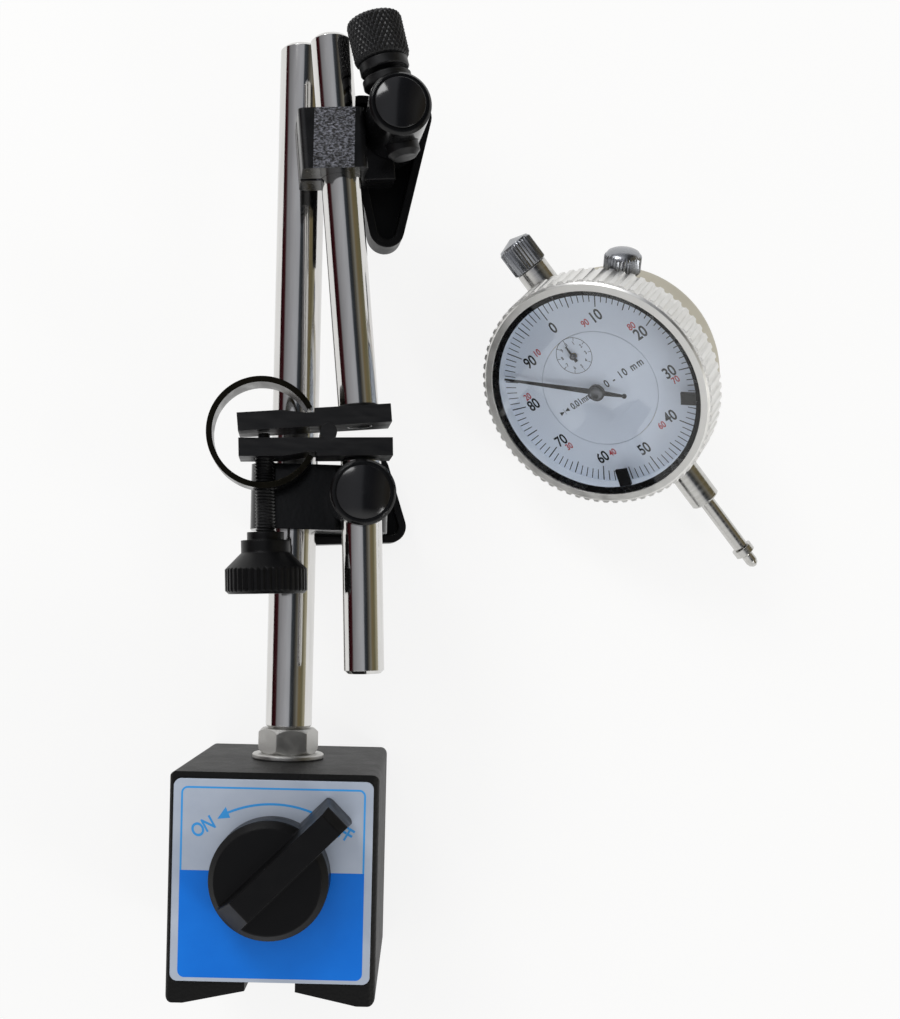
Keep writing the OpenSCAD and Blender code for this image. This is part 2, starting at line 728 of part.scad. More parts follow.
// Indicator holder
module holder_block() color(black_paint) on_holder() difference() {
    boss_back = -holder_half;
    boss_t = holder_boss_front - boss_back;
    union() {
        translate([0, holder_h / 2, 0]) rotate([90, 0, 0]) linear_extrude(holder_h)
            translate([(holder_right - holder_half - 1.5) / 2, 0])
                rounded_rectangle(holder_right + holder_half + 1.5, 2 * holder_half, 1.5);
        translate([0, 0, boss_back]) linear_extrude(boss_t) {
            translate([0, -holder_h / 2]) square([holder_offset, holder_h]);
            translate([holder_offset, holder_rise]) circle(holder_sleeve_r);
        }
    }
    rod_y(rod_d + 2 * fit, -2 * holder_h, 2 * holder_h, seat_edge);
    translate([holder_offset, holder_rise, boss_back - cut])
        cylinder(d = spigot_d - 1 + 2 * fit, h = boss_t + 2 * cut);
    translate([-4 * holder_half, -holder_h, -saw_cut / 2]) cube([4 * holder_half, 2 * holder_h, saw_cut]);
}

holder_sleeve_foot = holder_boss_front + gap;
holder_sleeve_front = holder_sleeve_foot + holder_sleeve_l;
holder_hub_l = lever_t + gap;
holder_lever_z = -holder_half - gap - holder_hub_l;

module holder_sleeve() color(black_paint) on_holder_sleeve()
    clamp_sleeve(holder_sleeve_r, holder_sleeve_foot, holder_sleeve_front, (spigot_d - 1) / 2, -holder_half,
        draw_d / 2, holder_lever_z + lever_wall + gap, stud_d / 2 - fit, stud_z);

module holder_cap() color(black_plastic) on_holder_sleeve() clamp_cap(holder_sleeve_r, holder_sleeve_front);

module holder_lever() on_holder() translate([holder_offset, holder_rise, holder_lever_z])
    clamp_lever(spigot_d / 2 + 0.5, holder_hub_l, draw_d / 2, holder_lever_corner, holder_lever_turn);

stud_top = collar_y + collar_h + lug_slot + washer_h + lug_nut_h;

module lug_stud() color(black_steel) on_stud() union() {
    rod_y(stud_d, -holder_sleeve_r - 2.5, collar_y + 0.5, 1.2);
    rod_y(stud_d - 2, collar_y, stud_top - 2, 0.5);
    rod_y(2 * collar_r, collar_y, collar_y + collar_h, 0.3);
}

module lug_washer() color(black_steel) on_stud()
    translate([0, collar_y + collar_h + lug_slot, 0]) difference() {
        rod_y(2 * collar_r, 0, washer_h, 0.3);
        rod_y(stud_d - 2 + 2 * fit, -cut, washer_h + cut, seat_edge);
    }

module lug_nut() color(black_steel) on_stud() translate([0, stud_top - lug_nut_h, 0]) difference() {
    rod_y(lug_nut_d, 0, lug_nut_h, 0.7);
    rod_y(stud_d - 2 + 2 * fit, -cut, lug_nut_h - 1.5, seat_edge);
    grooves_y(lug_grooves, lug_nut_d / 2 + groove_r / 4, groove_r, -cut, lug_nut_h + cut);
}

// Indicator case
module case() color(aluminium) difference() {
    on_dial() difference() {
        union() {
            difference() {
                translate([0, 0, back_z]) cylinder(r = case_r, h = case_depth - case_below);
                translate([0, 0, back_z - cut]) cylinder(r = case_r - case_wall, h = case_depth + 3 * cut);
            }
            intersection() {
                back_screw_places() translate([0, 0, back_z]) cylinder(r = boss_r, h = boss_h);
                translate([0, 0, back_z]) cylinder(r = case_r - case_wall / 2, h = boss_h);
            }
        }
        back_screw_places() translate([0, 0, back_z - cut]) cylinder(r = back_screw_r, h = boss_h);
        rotate([0, 0, -clamp_angle]) translate([0, 0, -stem_behind])
            rod_y(clamp_thread_d + 2 * fit, case_r - case_wall - cut, case_r + cut, seat_edge);
    }
    on_stem() rod_y(stem_d - 2 * stem_relief, -case_r - cut, 0, seat_edge);
    on_stem() rod_y(neck_d - 1, 0, case_r + cut, seat_edge);
}

module back_cover() color(aluminium) on_dial() difference() {
    union() {
        translate([0, 0, back_z - back_t]) cylinder(r = back_r, h = back_t);
        translate([-lug_t / 2, 0, lug_z]) rotate([0, 90, 0]) linear_extrude(lug_t) {
            circle(lug_r);
            translate([-lug_reach, -lug_r]) square([lug_reach, 2 * lug_r]);
        }
    }
    translate([-lug_t, 0, lug_z]) rotate([0, 90, 0]) cylinder(d = lug_hole_d, h = 2 * lug_t);
    back_screw_places() translate([0, 0, back_z - back_t - cut]) {
        cylinder(r = back_screw_r, h = back_t + 2 * cut);
        cylinder(r = back_head_r, h = cut + back_head_t);
    }
}

module back_screw_places() for (i = [0 : 3])
    rotate([0, 0, 45 + 90 * i]) translate([case_r - case_wall - back_screw_inset, 0, 0]) children();

module back_screws() color(steel) on_dial() back_screw_places() translate([0, 0, back_z - back_t])
    turned_z([[0, 0.1], [back_head_r, 0.1], [back_head_r, back_head_t], [back_screw_r, back_head_t],
        [back_screw_r, back_t + boss_h - 2 * cut], [0, back_t + boss_h - 2 * cut]]);

module stem_bush() color(steel) on_stem() difference() {
    union() {
        rod_y(stem_d, -stem_end, -stem_root, 0.4);
        rod_y(stem_d - 2 * stem_relief, -stem_root - cut, -case_r + case_wall, seat_edge);
    }
    rod_y(plunger_d + 2 * fit, -stem_end - cut, 0, seat_edge);
}

module cap_neck() color(steel) on_stem() difference() {
    union() {
        rod_y(neck_d, case_r, case_r + neck_l, 0.3);
        rod_y(neck_d - 1, case_r - case_wall, case_r + cut, seat_edge);
    }
    rod_y(plunger_d + 2 * fit, 0, case_r + neck_l + cut, seat_edge);
}

module dust_cap() color(steel) on_stem() translate([0, case_r + neck_l, 0]) difference() {
    turned_y([[0, 0], [cap_d / 2, 0], [cap_d / 2, cap_l], [cap_d / 2 - cap_edge, cap_l + cap_edge],
        [0, cap_l + cap_cone]]);
    rod_y(plunger_d + 1, -cut, cap_l - 1, seat_edge);
    grooves_y(head_grooves, cap_d / 2 + groove_r / 4, groove_r, -cut, cap_l + cut);
}

// Plunger with a side rack that the first pinion rolls on
rack_from = wheel_distance - plunger_travel - 2;
rack_to = wheel_distance + 2;
rack_z = plunger_d / 2 + 0.1;
rack_t = 1.7;
rack_back = 1.1;
tooth_high = tooth_module;
rack_x = rack_pinion_r;
side_play = 0.1;
pinion_z = rack_z + side_play - stem_behind;

module rack_tooth() polygon([[tooth_high, -0.22 * rack_pitch], [-tooth_high * 0.7, -0.07 * rack_pitch],
    [-tooth_high * 0.7, 0.07 * rack_pitch], [tooth_high, 0.22 * rack_pitch]]);

module plunger() color(steel) on_stem() union() {
    rod_y(plunger_d, -plunger_front, plunger_back, 0.3);
    translate([rack_x + tooth_high * 0.9, rack_from, 0])
        cube([rack_back, rack_to - rack_from, rack_z + rack_t]);
    translate([rack_x, wheel_distance + rack_pitch / 2, rack_z]) linear_extrude(rack_t)
        for (i = [-floor((plunger_travel + 1) / rack_pitch) : 2])
            translate([0, i * rack_pitch]) rack_tooth();
}

module contact_point() color(chrome) on_stem() translate([0, -plunger_front, 0]) mirror([0, 1, 0])
    turned_y([[0, 0], [point_d / 2, 0], [point_d / 2, point_flange], [point_r, point_flange + 0.6],
        [point_r, point_l - point_r], [point_r * 0.8, point_l - 0.4 * point_r],
        [point_r * 0.4, point_l], [0, point_l]]);

// Bezel with its dial, window and markers
module bezel() color(aluminium) on_dial() difference() {
    rim_top = bezel_front - bezel_chamfer;
    valley_r = bezel_r - scallop_depth;
    union() {
        translate([0, 0, -bezel_behind]) linear_extrude(rim_top + bezel_behind) difference() {
            circle(bezel_r);
            for (i = [0 : bezel_scallops - 1])
                rotate(i * 360 / bezel_scallops) translate([valley_r + scallop_r, 0]) circle(scallop_r);
        }
        turned_z([[0, rim_top - cut], [valley_r - fit, rim_top - cut], [valley_r - fit, rim_top],
            [valley_r - bezel_chamfer, bezel_front], [0, bezel_front]]);
    }
    turned_z([[0, -bezel_behind - cut], [case_r + fit, -bezel_behind - cut], [case_r + fit, -dial_t],
        [pocket_r, -dial_t], [pocket_r, crystal_z + crystal_t], [lip_r, crystal_z + crystal_t],
        [lip_r, bezel_front + cut], [0, bezel_front + cut]]);
}

module crystal() color(glass, 0.35) on_dial() translate([0, 0, crystal_z])
    cylinder(r = pocket_r, h = crystal_t);

module bezel_ring() color(black_plastic) on_dial() difference() {
    cylinder(r = pocket_r, h = crystal_z);
    translate([0, 0, -cut]) cylinder(r = window_r, h = crystal_z + 2 * cut);
}

module limit_marker(angle, length) color(black_plastic) on_dial() rotate([0, 0, angle])
    translate([0, 0, marker_z]) intersection() {
        difference() {
            cylinder(r = window_r - fit, h = marker_t);
            translate([0, 0, -cut]) cylinder(r = window_r - length, h = marker_t + 2 * cut);
        }
        translate([0, -marker_w / 2, -cut]) cube([2 * window_r, marker_w, marker_t + 2 * cut]);
    }

module limit_marker_low() limit_marker(marker_low_turn, marker_w + marker_t);
module limit_marker_high() limit_marker(marker_high_turn, marker_w + 2 * marker_t);

module dial_ring() color(dial_white) on_dial() translate([0, 0, -dial_t]) difference() {
    cylinder(r = pocket_r, h = dial_t);
    translate([0, 0, -cut]) cylinder(r = centre_r + 2 * fit, h = 2 * cut + dial_t);
}

module dial_centre() color(dial_white) on_dial() translate([0, 0, -dial_t]) difference() {
    cylinder(r = centre_r, h = dial_t);
    for (y = [0, wheel_distance])
        translate([0, y, -cut]) cylinder(r = arbor_r + gap, h = 2 * cut + dial_t);
}

// Movement
module plate(from) color(brass) on_dial() difference() {
    translate([0, 0, from]) linear_extrude(plate_t) intersection() {
        circle(case_r - case_wall - gap);
        square([plate_w, 2 * case_r], center = true);
    }
    for (y = [-1 : 1]) translate([0, y * wheel_distance, from - cut])
        cylinder(r = arbor_r + fit, h = plate_t + 2 * cut);
}

module lower_plate() plate(lower_plate_z);
module upper_plate() plate(upper_plate_z);

module plate_pillars() color(brass) on_dial() for (x = [-1, 1], y = [-1, 1])
    translate([x * pillar_x, y * pillar_y, lower_plate_z + plate_t])
        cylinder(r = pillar_r, h = upper_plate_z - lower_plate_z - plate_t);

// A wheel with thin teeth, a tooth on +Y, or a space there when shifted
module toothed(count, thickness, shift) {
    pitch_r = tooth_module * count / 2;
    tip_r = pitch_r + 0.7 * tooth_module;
    root_r = pitch_r - tooth_module;
    half = 0.22 * 360 / count;
    tip = 0.07 * 360 / count;
    linear_extrude(thickness) polygon([for (i = [0 : count - 1])
        let (a = 90 + (i + shift) * 360 / count)
        for (p = [[root_r, a - half], [tip_r, a - tip], [tip_r, a + tip], [root_r, a + half]])
            p[0] * [cos(p[1]), sin(p[1])]]);
}

module rack_wheel() color(brass) on_counter() union() {
    translate([0, 0, wheel_z]) rotate([0, 0, 180]) toothed(wheel_teeth, wheel_t, 0);
    translate([0, 0, pinion_z]) rotate([0, 0, -90]) toothed(rack_pinion_teeth, rack_t - 2 * side_play, 0);
    translate([0, 0, pinion_z]) cylinder(r = arbor_r, h = counter_z - pinion_z);
}

module centre_pinion() color(steel) on_dial() union() {
    translate([0, 0, wheel_z - side_play]) toothed(centre_teeth, wheel_t + 2 * side_play, 0.5);
    translate([0, 0, lower_plate_z]) cylinder(r = arbor_r, h = hand_z - lower_plate_z);
}

module takeup_wheel() color(brass) on_takeup() union() {
    translate([0, 0, wheel_z]) toothed(wheel_teeth, wheel_t, 0);
    translate([0, 0, lower_plate_z]) cylinder(r = arbor_r, h = upper_plate_z + plate_t - lower_plate_z);
}

module main_hand() color(black_plastic) on_dial() translate([0, 0, hand_z]) rotate([0, 0, hand_turn]) {
    linear_extrude(hand_t) polygon([[-1, -hand_tail], [1, -hand_tail], [0.75, 0], [0.25, hand_l],
        [-0.25, hand_l], [-0.75, 0]]);
    cylinder(r = hub_r, h = hub_h);
}

module counter_hand() color(black_plastic) on_counter() translate([0, 0, counter_z]) {
    linear_extrude(hand_t) polygon([[-0.4, -counter_tail], [0.4, -counter_tail], [0.15, counter_l],
        [-0.15, counter_l]]);
    cylinder(r = counter_hub_r, h = 2 * hand_t);
}

module bezel_clamp_screw() color(steel) on_dial() translate([0, 0, -stem_behind])
    rotate([0, 0, -clamp_angle]) translate([0, case_r, 0]) difference() {
        union() {
            turned_y([[0, clamp_head_foot], [clamp_head_r, clamp_head_foot],
                [clamp_head_r, clamp_head_l - 1], [clamp_head_r - 1, clamp_head_l],
                [0, clamp_head_l + clamp_dome]]);
            rod_y(clamp_thread_d, -case_wall, clamp_head_foot + cut, seat_edge);
        }
        grooves_y(head_grooves, clamp_head_r + groove_r / 4, groove_r, 0, clamp_head_l + cut);
    }

pole_left();
pole_right();
spacer_top();
spacer_bottom();
magnet_rotor();
front_cover();
rear_cover();
label_plate();
switch_knob();
column();
column_nut();
column_washer();
cross_block();
cross_sleeve();
cross_cap();
cross_lever();
stub_rod();
lower_bar();
pivot_roller();
c_spring();
fine_screw();
fine_knob();
upper_bar();
upper_rod();
holder_block();
holder_sleeve();
holder_cap();
holder_lever();
lug_stud();
lug_washer();
lug_nut();
case();
back_cover();
back_screws();
stem_bush();
cap_neck();
dust_cap();
plunger();
contact_point();
bezel();
crystal();
bezel_ring();
limit_marker_low();
limit_marker_high();
dial_ring();
dial_centre();
lower_plate();
upper_plate();
plate_pillars();
rack_wheel();
centre_pinion();
takeup_wheel();
main_hand();
counter_hand();
bezel_clamp_screw();
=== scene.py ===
# %% [markdown]
# # A dial indicator with its magnetic stand
# The stand lies on the back of its base with its arm folded, and the loose indicator leans beside it.
# The camera looks straight down at both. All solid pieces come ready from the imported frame, in metres.
# This lesson gives them their finishes and adds what is printed, threaded or knurled.

# %% Load the frame
import json
import math

import bmesh
import bpy
from mathutils import Matrix, Vector


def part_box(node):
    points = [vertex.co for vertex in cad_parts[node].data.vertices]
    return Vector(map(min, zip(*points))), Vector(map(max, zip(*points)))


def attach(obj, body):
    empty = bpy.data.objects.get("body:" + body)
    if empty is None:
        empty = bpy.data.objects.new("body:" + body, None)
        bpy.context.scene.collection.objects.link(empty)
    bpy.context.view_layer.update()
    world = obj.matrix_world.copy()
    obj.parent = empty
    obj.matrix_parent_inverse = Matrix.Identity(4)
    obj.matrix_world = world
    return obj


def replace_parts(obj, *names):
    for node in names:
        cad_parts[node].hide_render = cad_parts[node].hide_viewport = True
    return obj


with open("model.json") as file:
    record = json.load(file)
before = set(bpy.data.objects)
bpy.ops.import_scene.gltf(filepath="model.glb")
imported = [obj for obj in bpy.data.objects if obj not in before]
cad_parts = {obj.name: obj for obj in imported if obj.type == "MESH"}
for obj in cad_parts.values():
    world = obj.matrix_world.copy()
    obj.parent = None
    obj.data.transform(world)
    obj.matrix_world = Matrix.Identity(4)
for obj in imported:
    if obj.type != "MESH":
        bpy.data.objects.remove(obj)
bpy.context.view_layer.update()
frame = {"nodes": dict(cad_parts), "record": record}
MM = 0.001
joints = {joint["name"]: joint for joint in frame["record"]["behaviour"]["joints"]}

# %% [markdown]
# ## Camera
# The photograph was taken from straight above, close enough that the tall base shows its top and its
# right side. A lens of about 45 mm at 0.36 m gives that. The frame was cut away from the middle of the
# view, so a small shift moves it, and a roll of about one degree matches how the base lies.

# %% Camera
# Sizes and places are in millimetres and turns in degrees, here and below.
IMAGE_LONG_SIDE = 1019
FOCAL_PIXELS = 1281
SENSOR_WIDTH = 36
FRAME_SHIFT = (0.0242, 0.0922)
CAMERA_AT = (34.9, 68.6, 364.1)
CAMERA_ROLL = 1.31
NEAR_CLIP = 10
camera_data = bpy.data.cameras.new("above")
camera_data.sensor_width = SENSOR_WIDTH
camera_data.lens = SENSOR_WIDTH * FOCAL_PIXELS / IMAGE_LONG_SIDE
camera_data.shift_x, camera_data.shift_y = FRAME_SHIFT
camera_data.clip_start = NEAR_CLIP * MM
camera = bpy.data.objects.new("above", camera_data)
camera.location = [v * MM for v in CAMERA_AT]
camera.rotation_euler = (0, 0, math.radians(CAMERA_ROLL))
bpy.context.collection.objects.link(camera)
bpy.context.scene.camera = camera
bpy.context.scene.view_settings.view_transform = "Standard"
print("lens", round(camera_data.lens, 1), "mm")

# %% [markdown]
# ## Helpers for colours and nodes
# Colours are written as sRGB hex values, as a paint chart gives them, and one function turns them into
# the linear values that Blender works in. Another adds a node with its settings and its links, so that
# each material below reads as a short list of what it is made of.


# %% Colour and node helpers
def linear(hex_colour):
    """An sRGB hex value as a linear colour with full opacity."""
    channels = [int(hex_colour[i : i + 2], 16) / 255 for i in (1, 3, 5)]
    return [c / 12.92 if c <= 0.04045 else ((c + 0.055) / 1.055) ** 2.4 for c in channels] + [1.0]


def set_inputs(node, values):
    """Sets the values of a node's inputs."""
    for socket, value in values.items():
        node.inputs[socket].default_value = value


def add_node(tree, kind, links=None, inputs=None, **settings):
    """Adds a node, sets its properties and input values, and links sources into it."""
    node = tree.nodes.new(kind)
    for key, value in settings.items():
        setattr(node, key, value)
    set_inputs(node, inputs or {})
    for socket, source in (links or {}).items():
        tree.links.new(source, node.inputs[socket])
    return node


WHITE = linear("#ffffff")
print("white is", [round(c, 2) for c in WHITE])

# %% [markdown]
# ## Light
# A large soft lamp above and to the upper left, a smaller one to the lower right and an even sky give the
# plain light of a copy stand. Polished metal only looks like metal when it has something to mirror, so
# glossy rays see a sky with a few broad bands, like the grey walls and dark curtain of a small studio,
# and a bright window in front. The camera sees plain white behind the floor. Rays that leave through the
# glass of the dial light what is under it, so they keep the even sky. The lamps stand to the sides, where
# the long rods don't mirror them to the camera.

# %% Walls that metal mirrors
SKY_BANDS = [
    (0.00, "#2a0c10"),
    (0.05, "#3a1116"),
    (0.08, "#8b8b8e"),
    (0.20, "#a3a3a7"),
    (0.40, "#b6b7bc"),
    (0.54, "#b2b4ba"),
    (0.58, "#3f444a"),
    (0.70, "#2a2c2f"),
    (0.78, "#5f5b52"),
    (0.84, "#85837a"),
    (0.90, "#7c6e50"),
    (0.97, "#6f6a50"),
    (1.00, "#b9b29a"),
]
# The window is a level of light, already linear. It fades in as the direction turns to the front.
FRONT_WINDOW = [0.95, 0.95, 0.94, 1.0]
WINDOW_FADE = (-0.42, -0.62)
world = bpy.data.worlds.new("studio")
bpy.context.scene.world = world
world.use_nodes = True
sky = world.node_tree
sky.nodes.clear()
toward = add_node(sky, "ShaderNodeTexCoord")
split = add_node(sky, "ShaderNodeSeparateXYZ", links={"Vector": toward.outputs["Generated"]})
bands = add_node(
    sky,
    "ShaderNodeMapRange",
    links={"Value": split.outputs["X"]},
    inputs={"From Min": -1, "From Max": 1, "To Min": 0, "To Max": 1},
)
ramp = add_node(sky, "ShaderNodeValToRGB", links={"Fac": bands.outputs["Result"]})
while len(ramp.color_ramp.elements) < len(SKY_BANDS):
    ramp.color_ramp.elements.new(0.5)
for element, (position, colour) in zip(ramp.color_ramp.elements, SKY_BANDS):
    element.position = position
    element.color = linear(colour)
toward_front = add_node(
    sky,
    "ShaderNodeMapRange",
    links={"Value": split.outputs["Y"]},
    inputs={"From Min": WINDOW_FADE[0], "From Max": WINDOW_FADE[1], "To Min": 0, "To Max": 1},
)
walls = add_node(
    sky,
    "ShaderNodeMix",
    data_type="RGBA",
    links={0: toward_front.outputs["Result"], 6: ramp.outputs["Color"]},
    inputs={7: FRONT_WINDOW},
)
print("sky bands", len(SKY_BANDS))

# %% A sky for each kind of ray
SKY_LEVEL = 0.62
WALL_LEVEL = 0.9
rays = add_node(sky, "ShaderNodeLightPath")
plain_sky = add_node(sky, "ShaderNodeBackground", inputs={"Color": WHITE, "Strength": SKY_LEVEL})
banded_sky = add_node(
    sky, "ShaderNodeBackground", links={"Color": walls.outputs[2]}, inputs={"Strength": WALL_LEVEL}
)
either_sky = add_node(
    sky,
    "ShaderNodeMixShader",
    links={0: rays.outputs["Is Glossy Ray"], 1: plain_sky.outputs[0], 2: banded_sky.outputs[0]},
)
white_backdrop = add_node(sky, "ShaderNodeBackground", inputs={"Color": WHITE, "Strength": 1.0})
seen_sky = add_node(
    sky,
    "ShaderNodeMixShader",
    links={0: rays.outputs["Is Camera Ray"], 1: either_sky.outputs[0], 2: white_backdrop.outputs[0]},
)
add_node(sky, "ShaderNodeOutputWorld", links={"Surface": seen_sky.outputs[0]})
print("sky level", SKY_LEVEL, "mirrored walls", WALL_LEVEL)

# %% Lamps
# The lamps and the floor are large, so they are given in metres.
STAND_MIDDLE = Vector((0.03, 0.1, 0.02))
LAMPS = [
    {"name": "key_lamp", "place": (-0.3, 0.74, 0.56), "size": 0.32, "watts": 2.9},
    {"name": "side_lamp", "place": (0.55, -0.28, 0.5), "size": 0.16, "watts": 0.9},
]


def soft_lamp(name, place, size, watts):
    """A square soft lamp that faces the middle of the stand."""
    data = bpy.data.lights.new(name, "AREA")
    data.shape = "SQUARE"
    data.size = size
    data.energy = watts
    lamp = bpy.data.objects.new(name, data)
    lamp.location = place
    lamp.rotation_euler = (STAND_MIDDLE - Vector(place)).to_track_quat("-Z", "Y").to_euler()
    bpy.context.collection.objects.link(lamp)


for lamp_values in LAMPS:
    soft_lamp(**lamp_values)
print("lamps", len(LAMPS))

# %% [markdown]
# ## Floor
# The floor is a pale sheet of paper that keeps the soft shadow under each piece. Stronger lamps would
# make it white, but they would bleach the object too. So most of what is seen of the sheet is a plain
# glow, straight on, mirrored or through glass, and the shadow stays.

# %% Floor
FLOOR_HALF = 3.0
FLOOR_DROP = 0.05  # in millimetres, so that no face of the object lies in the floor
PAPER_GLOW = 0.82
floor_mesh = bpy.data.meshes.new("floor")
floor_corners = [(x * FLOOR_HALF, y * FLOOR_HALF, 0) for x, y in ((-1, -1), (1, -1), (1, 1), (-1, 1))]
floor_mesh.from_pydata(floor_corners, [], [(0, 1, 2, 3)])
floor = bpy.data.objects.new("floor", floor_mesh)
floor.location.z = -FLOOR_DROP * MM
bpy.context.collection.objects.link(floor)
paper = bpy.data.materials.new("white_paper_sheet")
paper.use_nodes = True
tree = paper.node_tree
paper_shader = tree.nodes["Principled BSDF"]
set_inputs(paper_shader, {"Base Color": linear("#f6f5f2"), "Roughness": 0.9, "Specular IOR Level": 0.1})
paper_rays = add_node(tree, "ShaderNodeLightPath")
mirrored = add_node(
    tree,
    "ShaderNodeMath",
    operation="MAXIMUM",
    links={0: paper_rays.outputs["Is Glossy Ray"], 1: paper_rays.outputs["Is Transmission Ray"]},
)
seen = add_node(
    tree,
    "ShaderNodeMath",
    operation="MAXIMUM",
    links={0: paper_rays.outputs["Is Camera Ray"], 1: mirrored.outputs[0]},
)
share = add_node(
    tree, "ShaderNodeMath", operation="MULTIPLY", links={0: seen.outputs[0]}, inputs={1: PAPER_GLOW}
)
glow = add_node(tree, "ShaderNodeEmission", inputs={"Color": WHITE, "Strength": 1.0})
bright_paper = add_node(
    tree,
    "ShaderNodeMixShader",
    links={0: share.outputs[0], 1: paper_shader.outputs[0], 2: glow.outputs[0]},
)
tree.links.new(bright_paper.outputs[0], tree.nodes["Material Output"].inputs["Surface"])
floor_mesh.materials.append(paper)
print("floor", 2 * FLOOR_HALF, "m")

# %% [markdown]
# ## Finishes
# Every finish here is a mottled colour, a roughness that follows the mottle, and a fine relief, with
# edges that catch light as if they were slightly broken. Pictures of real surfaces could give that too,
# but noise has no seams and keeps its size in millimetres on every piece. One function builds it. What
# sets a finish apart, such as the wrinkles of the base's paint, is added after it.

# %% The shared build of a finish
# Most values of a noise lie in this range, so the roughness runs from low to high over it.
NOISE_RANGE = (0.3, 0.7)


def finish(
    name,
    dark,
    light,
    mottle,
    rough,
    relief,
    depth,
    metal=0.0,
    stretch=(1, 1, 1),
    turn=(0, 0, 0),
    edge=0.25,
    shine=0.5,
):
    """A mottled surface: colours as hex, sizes in mm, roughness as a low and a high value."""
    material = bpy.data.materials.new(name)
    material.use_nodes = True
    tree = material.node_tree
    shader = tree.nodes["Principled BSDF"]
    set_inputs(shader, {"Metallic": metal, "Specular IOR Level": shine})
    place = add_node(tree, "ShaderNodeTexCoord")
    along = add_node(
        tree,
        "ShaderNodeMapping",
        vector_type="TEXTURE",
        links={"Vector": place.outputs["Object"]},
        inputs={"Rotation": turn, "Scale": stretch},
    )
    vector = along.outputs["Vector"]
    blotches = add_node(
        tree,
        "ShaderNodeTexNoise",
        links={"Vector": vector},
        inputs={"Scale": 1 / (mottle * MM), "Detail": 4.0},
    )
    colour = add_node(
        tree,
        "ShaderNodeMix",
        data_type="RGBA",
        links={0: blotches.outputs["Fac"]},
        inputs={6: linear(dark), 7: linear(light)},
    )
    from_min, from_max = NOISE_RANGE
    gloss = add_node(
        tree,
        "ShaderNodeMapRange",
        links={"Value": blotches.outputs["Fac"]},
        inputs={"From Min": from_min, "From Max": from_max, "To Min": rough[0], "To Max": rough[1]},
    )
    grain = add_node(
        tree,
        "ShaderNodeTexNoise",
        links={"Vector": vector},
        inputs={"Scale": 1 / (relief * MM), "Detail": 2.0},
    )
    broken_edge = add_node(tree, "ShaderNodeBevel", samples=4, inputs={"Radius": edge * MM})
    bump = add_node(
        tree,
        "ShaderNodeBump",
        name="relief",
        links={"Height": grain.outputs["Fac"], "Normal": broken_edge.outputs["Normal"]},
        inputs={"Distance": depth * MM, "Strength": 1.0},
    )
    tree.links.new(colour.outputs[2], shader.inputs["Base Color"])
    tree.links.new(gloss.outputs["Result"], shader.inputs["Roughness"])
    tree.links.new(bump.outputs["Normal"], shader.inputs["Normal"])
    return material


def dress(material, *nodes):
    """Gives a finish to nodes of the frame."""
    for node in nodes:
        for place in frame["nodes"][node].material_slots:
            place.material = material
    print(material.name, "on", len(nodes), "nodes")


print("slots to dress", sum(len(node.material_slots) for node in frame["nodes"].values()))

# %% [markdown]
# The base is cast steel with a black wrinkle paint, sprayed thick and baked until it crinkles. The
# wrinkles are about 0.7 mm across and throw tiny glints. They could be cut into the mesh, but they are
# too shallow to change the outline, so a bump does. The feet of the magnet face are ground bare: there
# the paint gives way to grey steel.

# %% Wrinkle paint on the base
WRINKLE = 0.7
WRINKLE_DEPTH = 0.12
BARE_DEPTH = 0.05
wrinkle_paint = finish(
    "wrinkle_paint_black", "#090909", "#0f0f0e", 6, (0.5, 0.57), 0.45, 0.05, shine=0.25
)
tree = wrinkle_paint.node_tree
shader = tree.nodes["Principled BSDF"]
where = add_node(tree, "ShaderNodeTexCoord")
cells = add_node(
    tree,
    "ShaderNodeTexVoronoi",
    feature="SMOOTH_F1",
    links={"Vector": where.outputs["Object"]},
    inputs={"Scale": 1 / (WRINKLE * MM), "Smoothness": 0.6},
)
wrinkles = add_node(
    tree,
    "ShaderNodeBump",
    links={"Height": cells.outputs["Distance"], "Normal": tree.nodes["relief"].outputs["Normal"]},
    inputs={"Distance": WRINKLE_DEPTH * MM, "Strength": 0.8},
)
tree.links.new(wrinkles.outputs["Normal"], shader.inputs["Normal"])
height = add_node(tree, "ShaderNodeSeparateXYZ", links={"Vector": where.outputs["Object"]})
foot_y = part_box("pole_left")[0].y
bare = add_node(
    tree,
    "ShaderNodeMath",
    operation="LESS_THAN",
    links={0: height.outputs["Y"]},
    inputs={1: foot_y + BARE_DEPTH * MM},
)
ground = add_node(
    tree,
    "ShaderNodeMix",
    data_type="RGBA",
    links={0: bare.outputs[0], 6: shader.inputs["Base Color"].links[0].from_socket},
    inputs={7: linear("#9a9a98")},
)
tree.links.new(ground.outputs[2], shader.inputs["Base Color"])
tree.links.new(bare.outputs[0], shader.inputs["Metallic"])
dress(wrinkle_paint, "pole_left", "pole_right", "spacer_top", "spacer_bottom")
dress(wrinkle_paint, "rear_cover", "front_cover")

# %% [markdown]
# The clamps are die castings in glossy black enamel, smooth with a slight orange peel. The bars of the
# fine adjustment are blackened steel, with the marks of the saw still in them, and the C spring is blued
# to a dark brown. The knobs and levers are moulded in black phenolic, a hard plastic with a low even
# shine, and the caps in a glossier one.

# %% Black finishes
black_enamel = finish(
    "black_enamel_clamps", "#070708", "#101011", 9, (0.1, 0.2), 1.1, 0.012, edge=0.5, shine=0.35
)
dress(black_enamel, "cross_block", "cross_sleeve", "holder_sleeve")

black_steel = finish(
    "blackened_steel_sawn",
    "#060607",
    "#161618",
    1.2,
    (0.3, 0.5),
    0.3,
    0.02,
    stretch=(6, 1, 1),
    shine=0.35,
)
dress(black_steel, "lower_bar", "upper_bar", "pivot_roller", "lug_stud", "lug_washer")

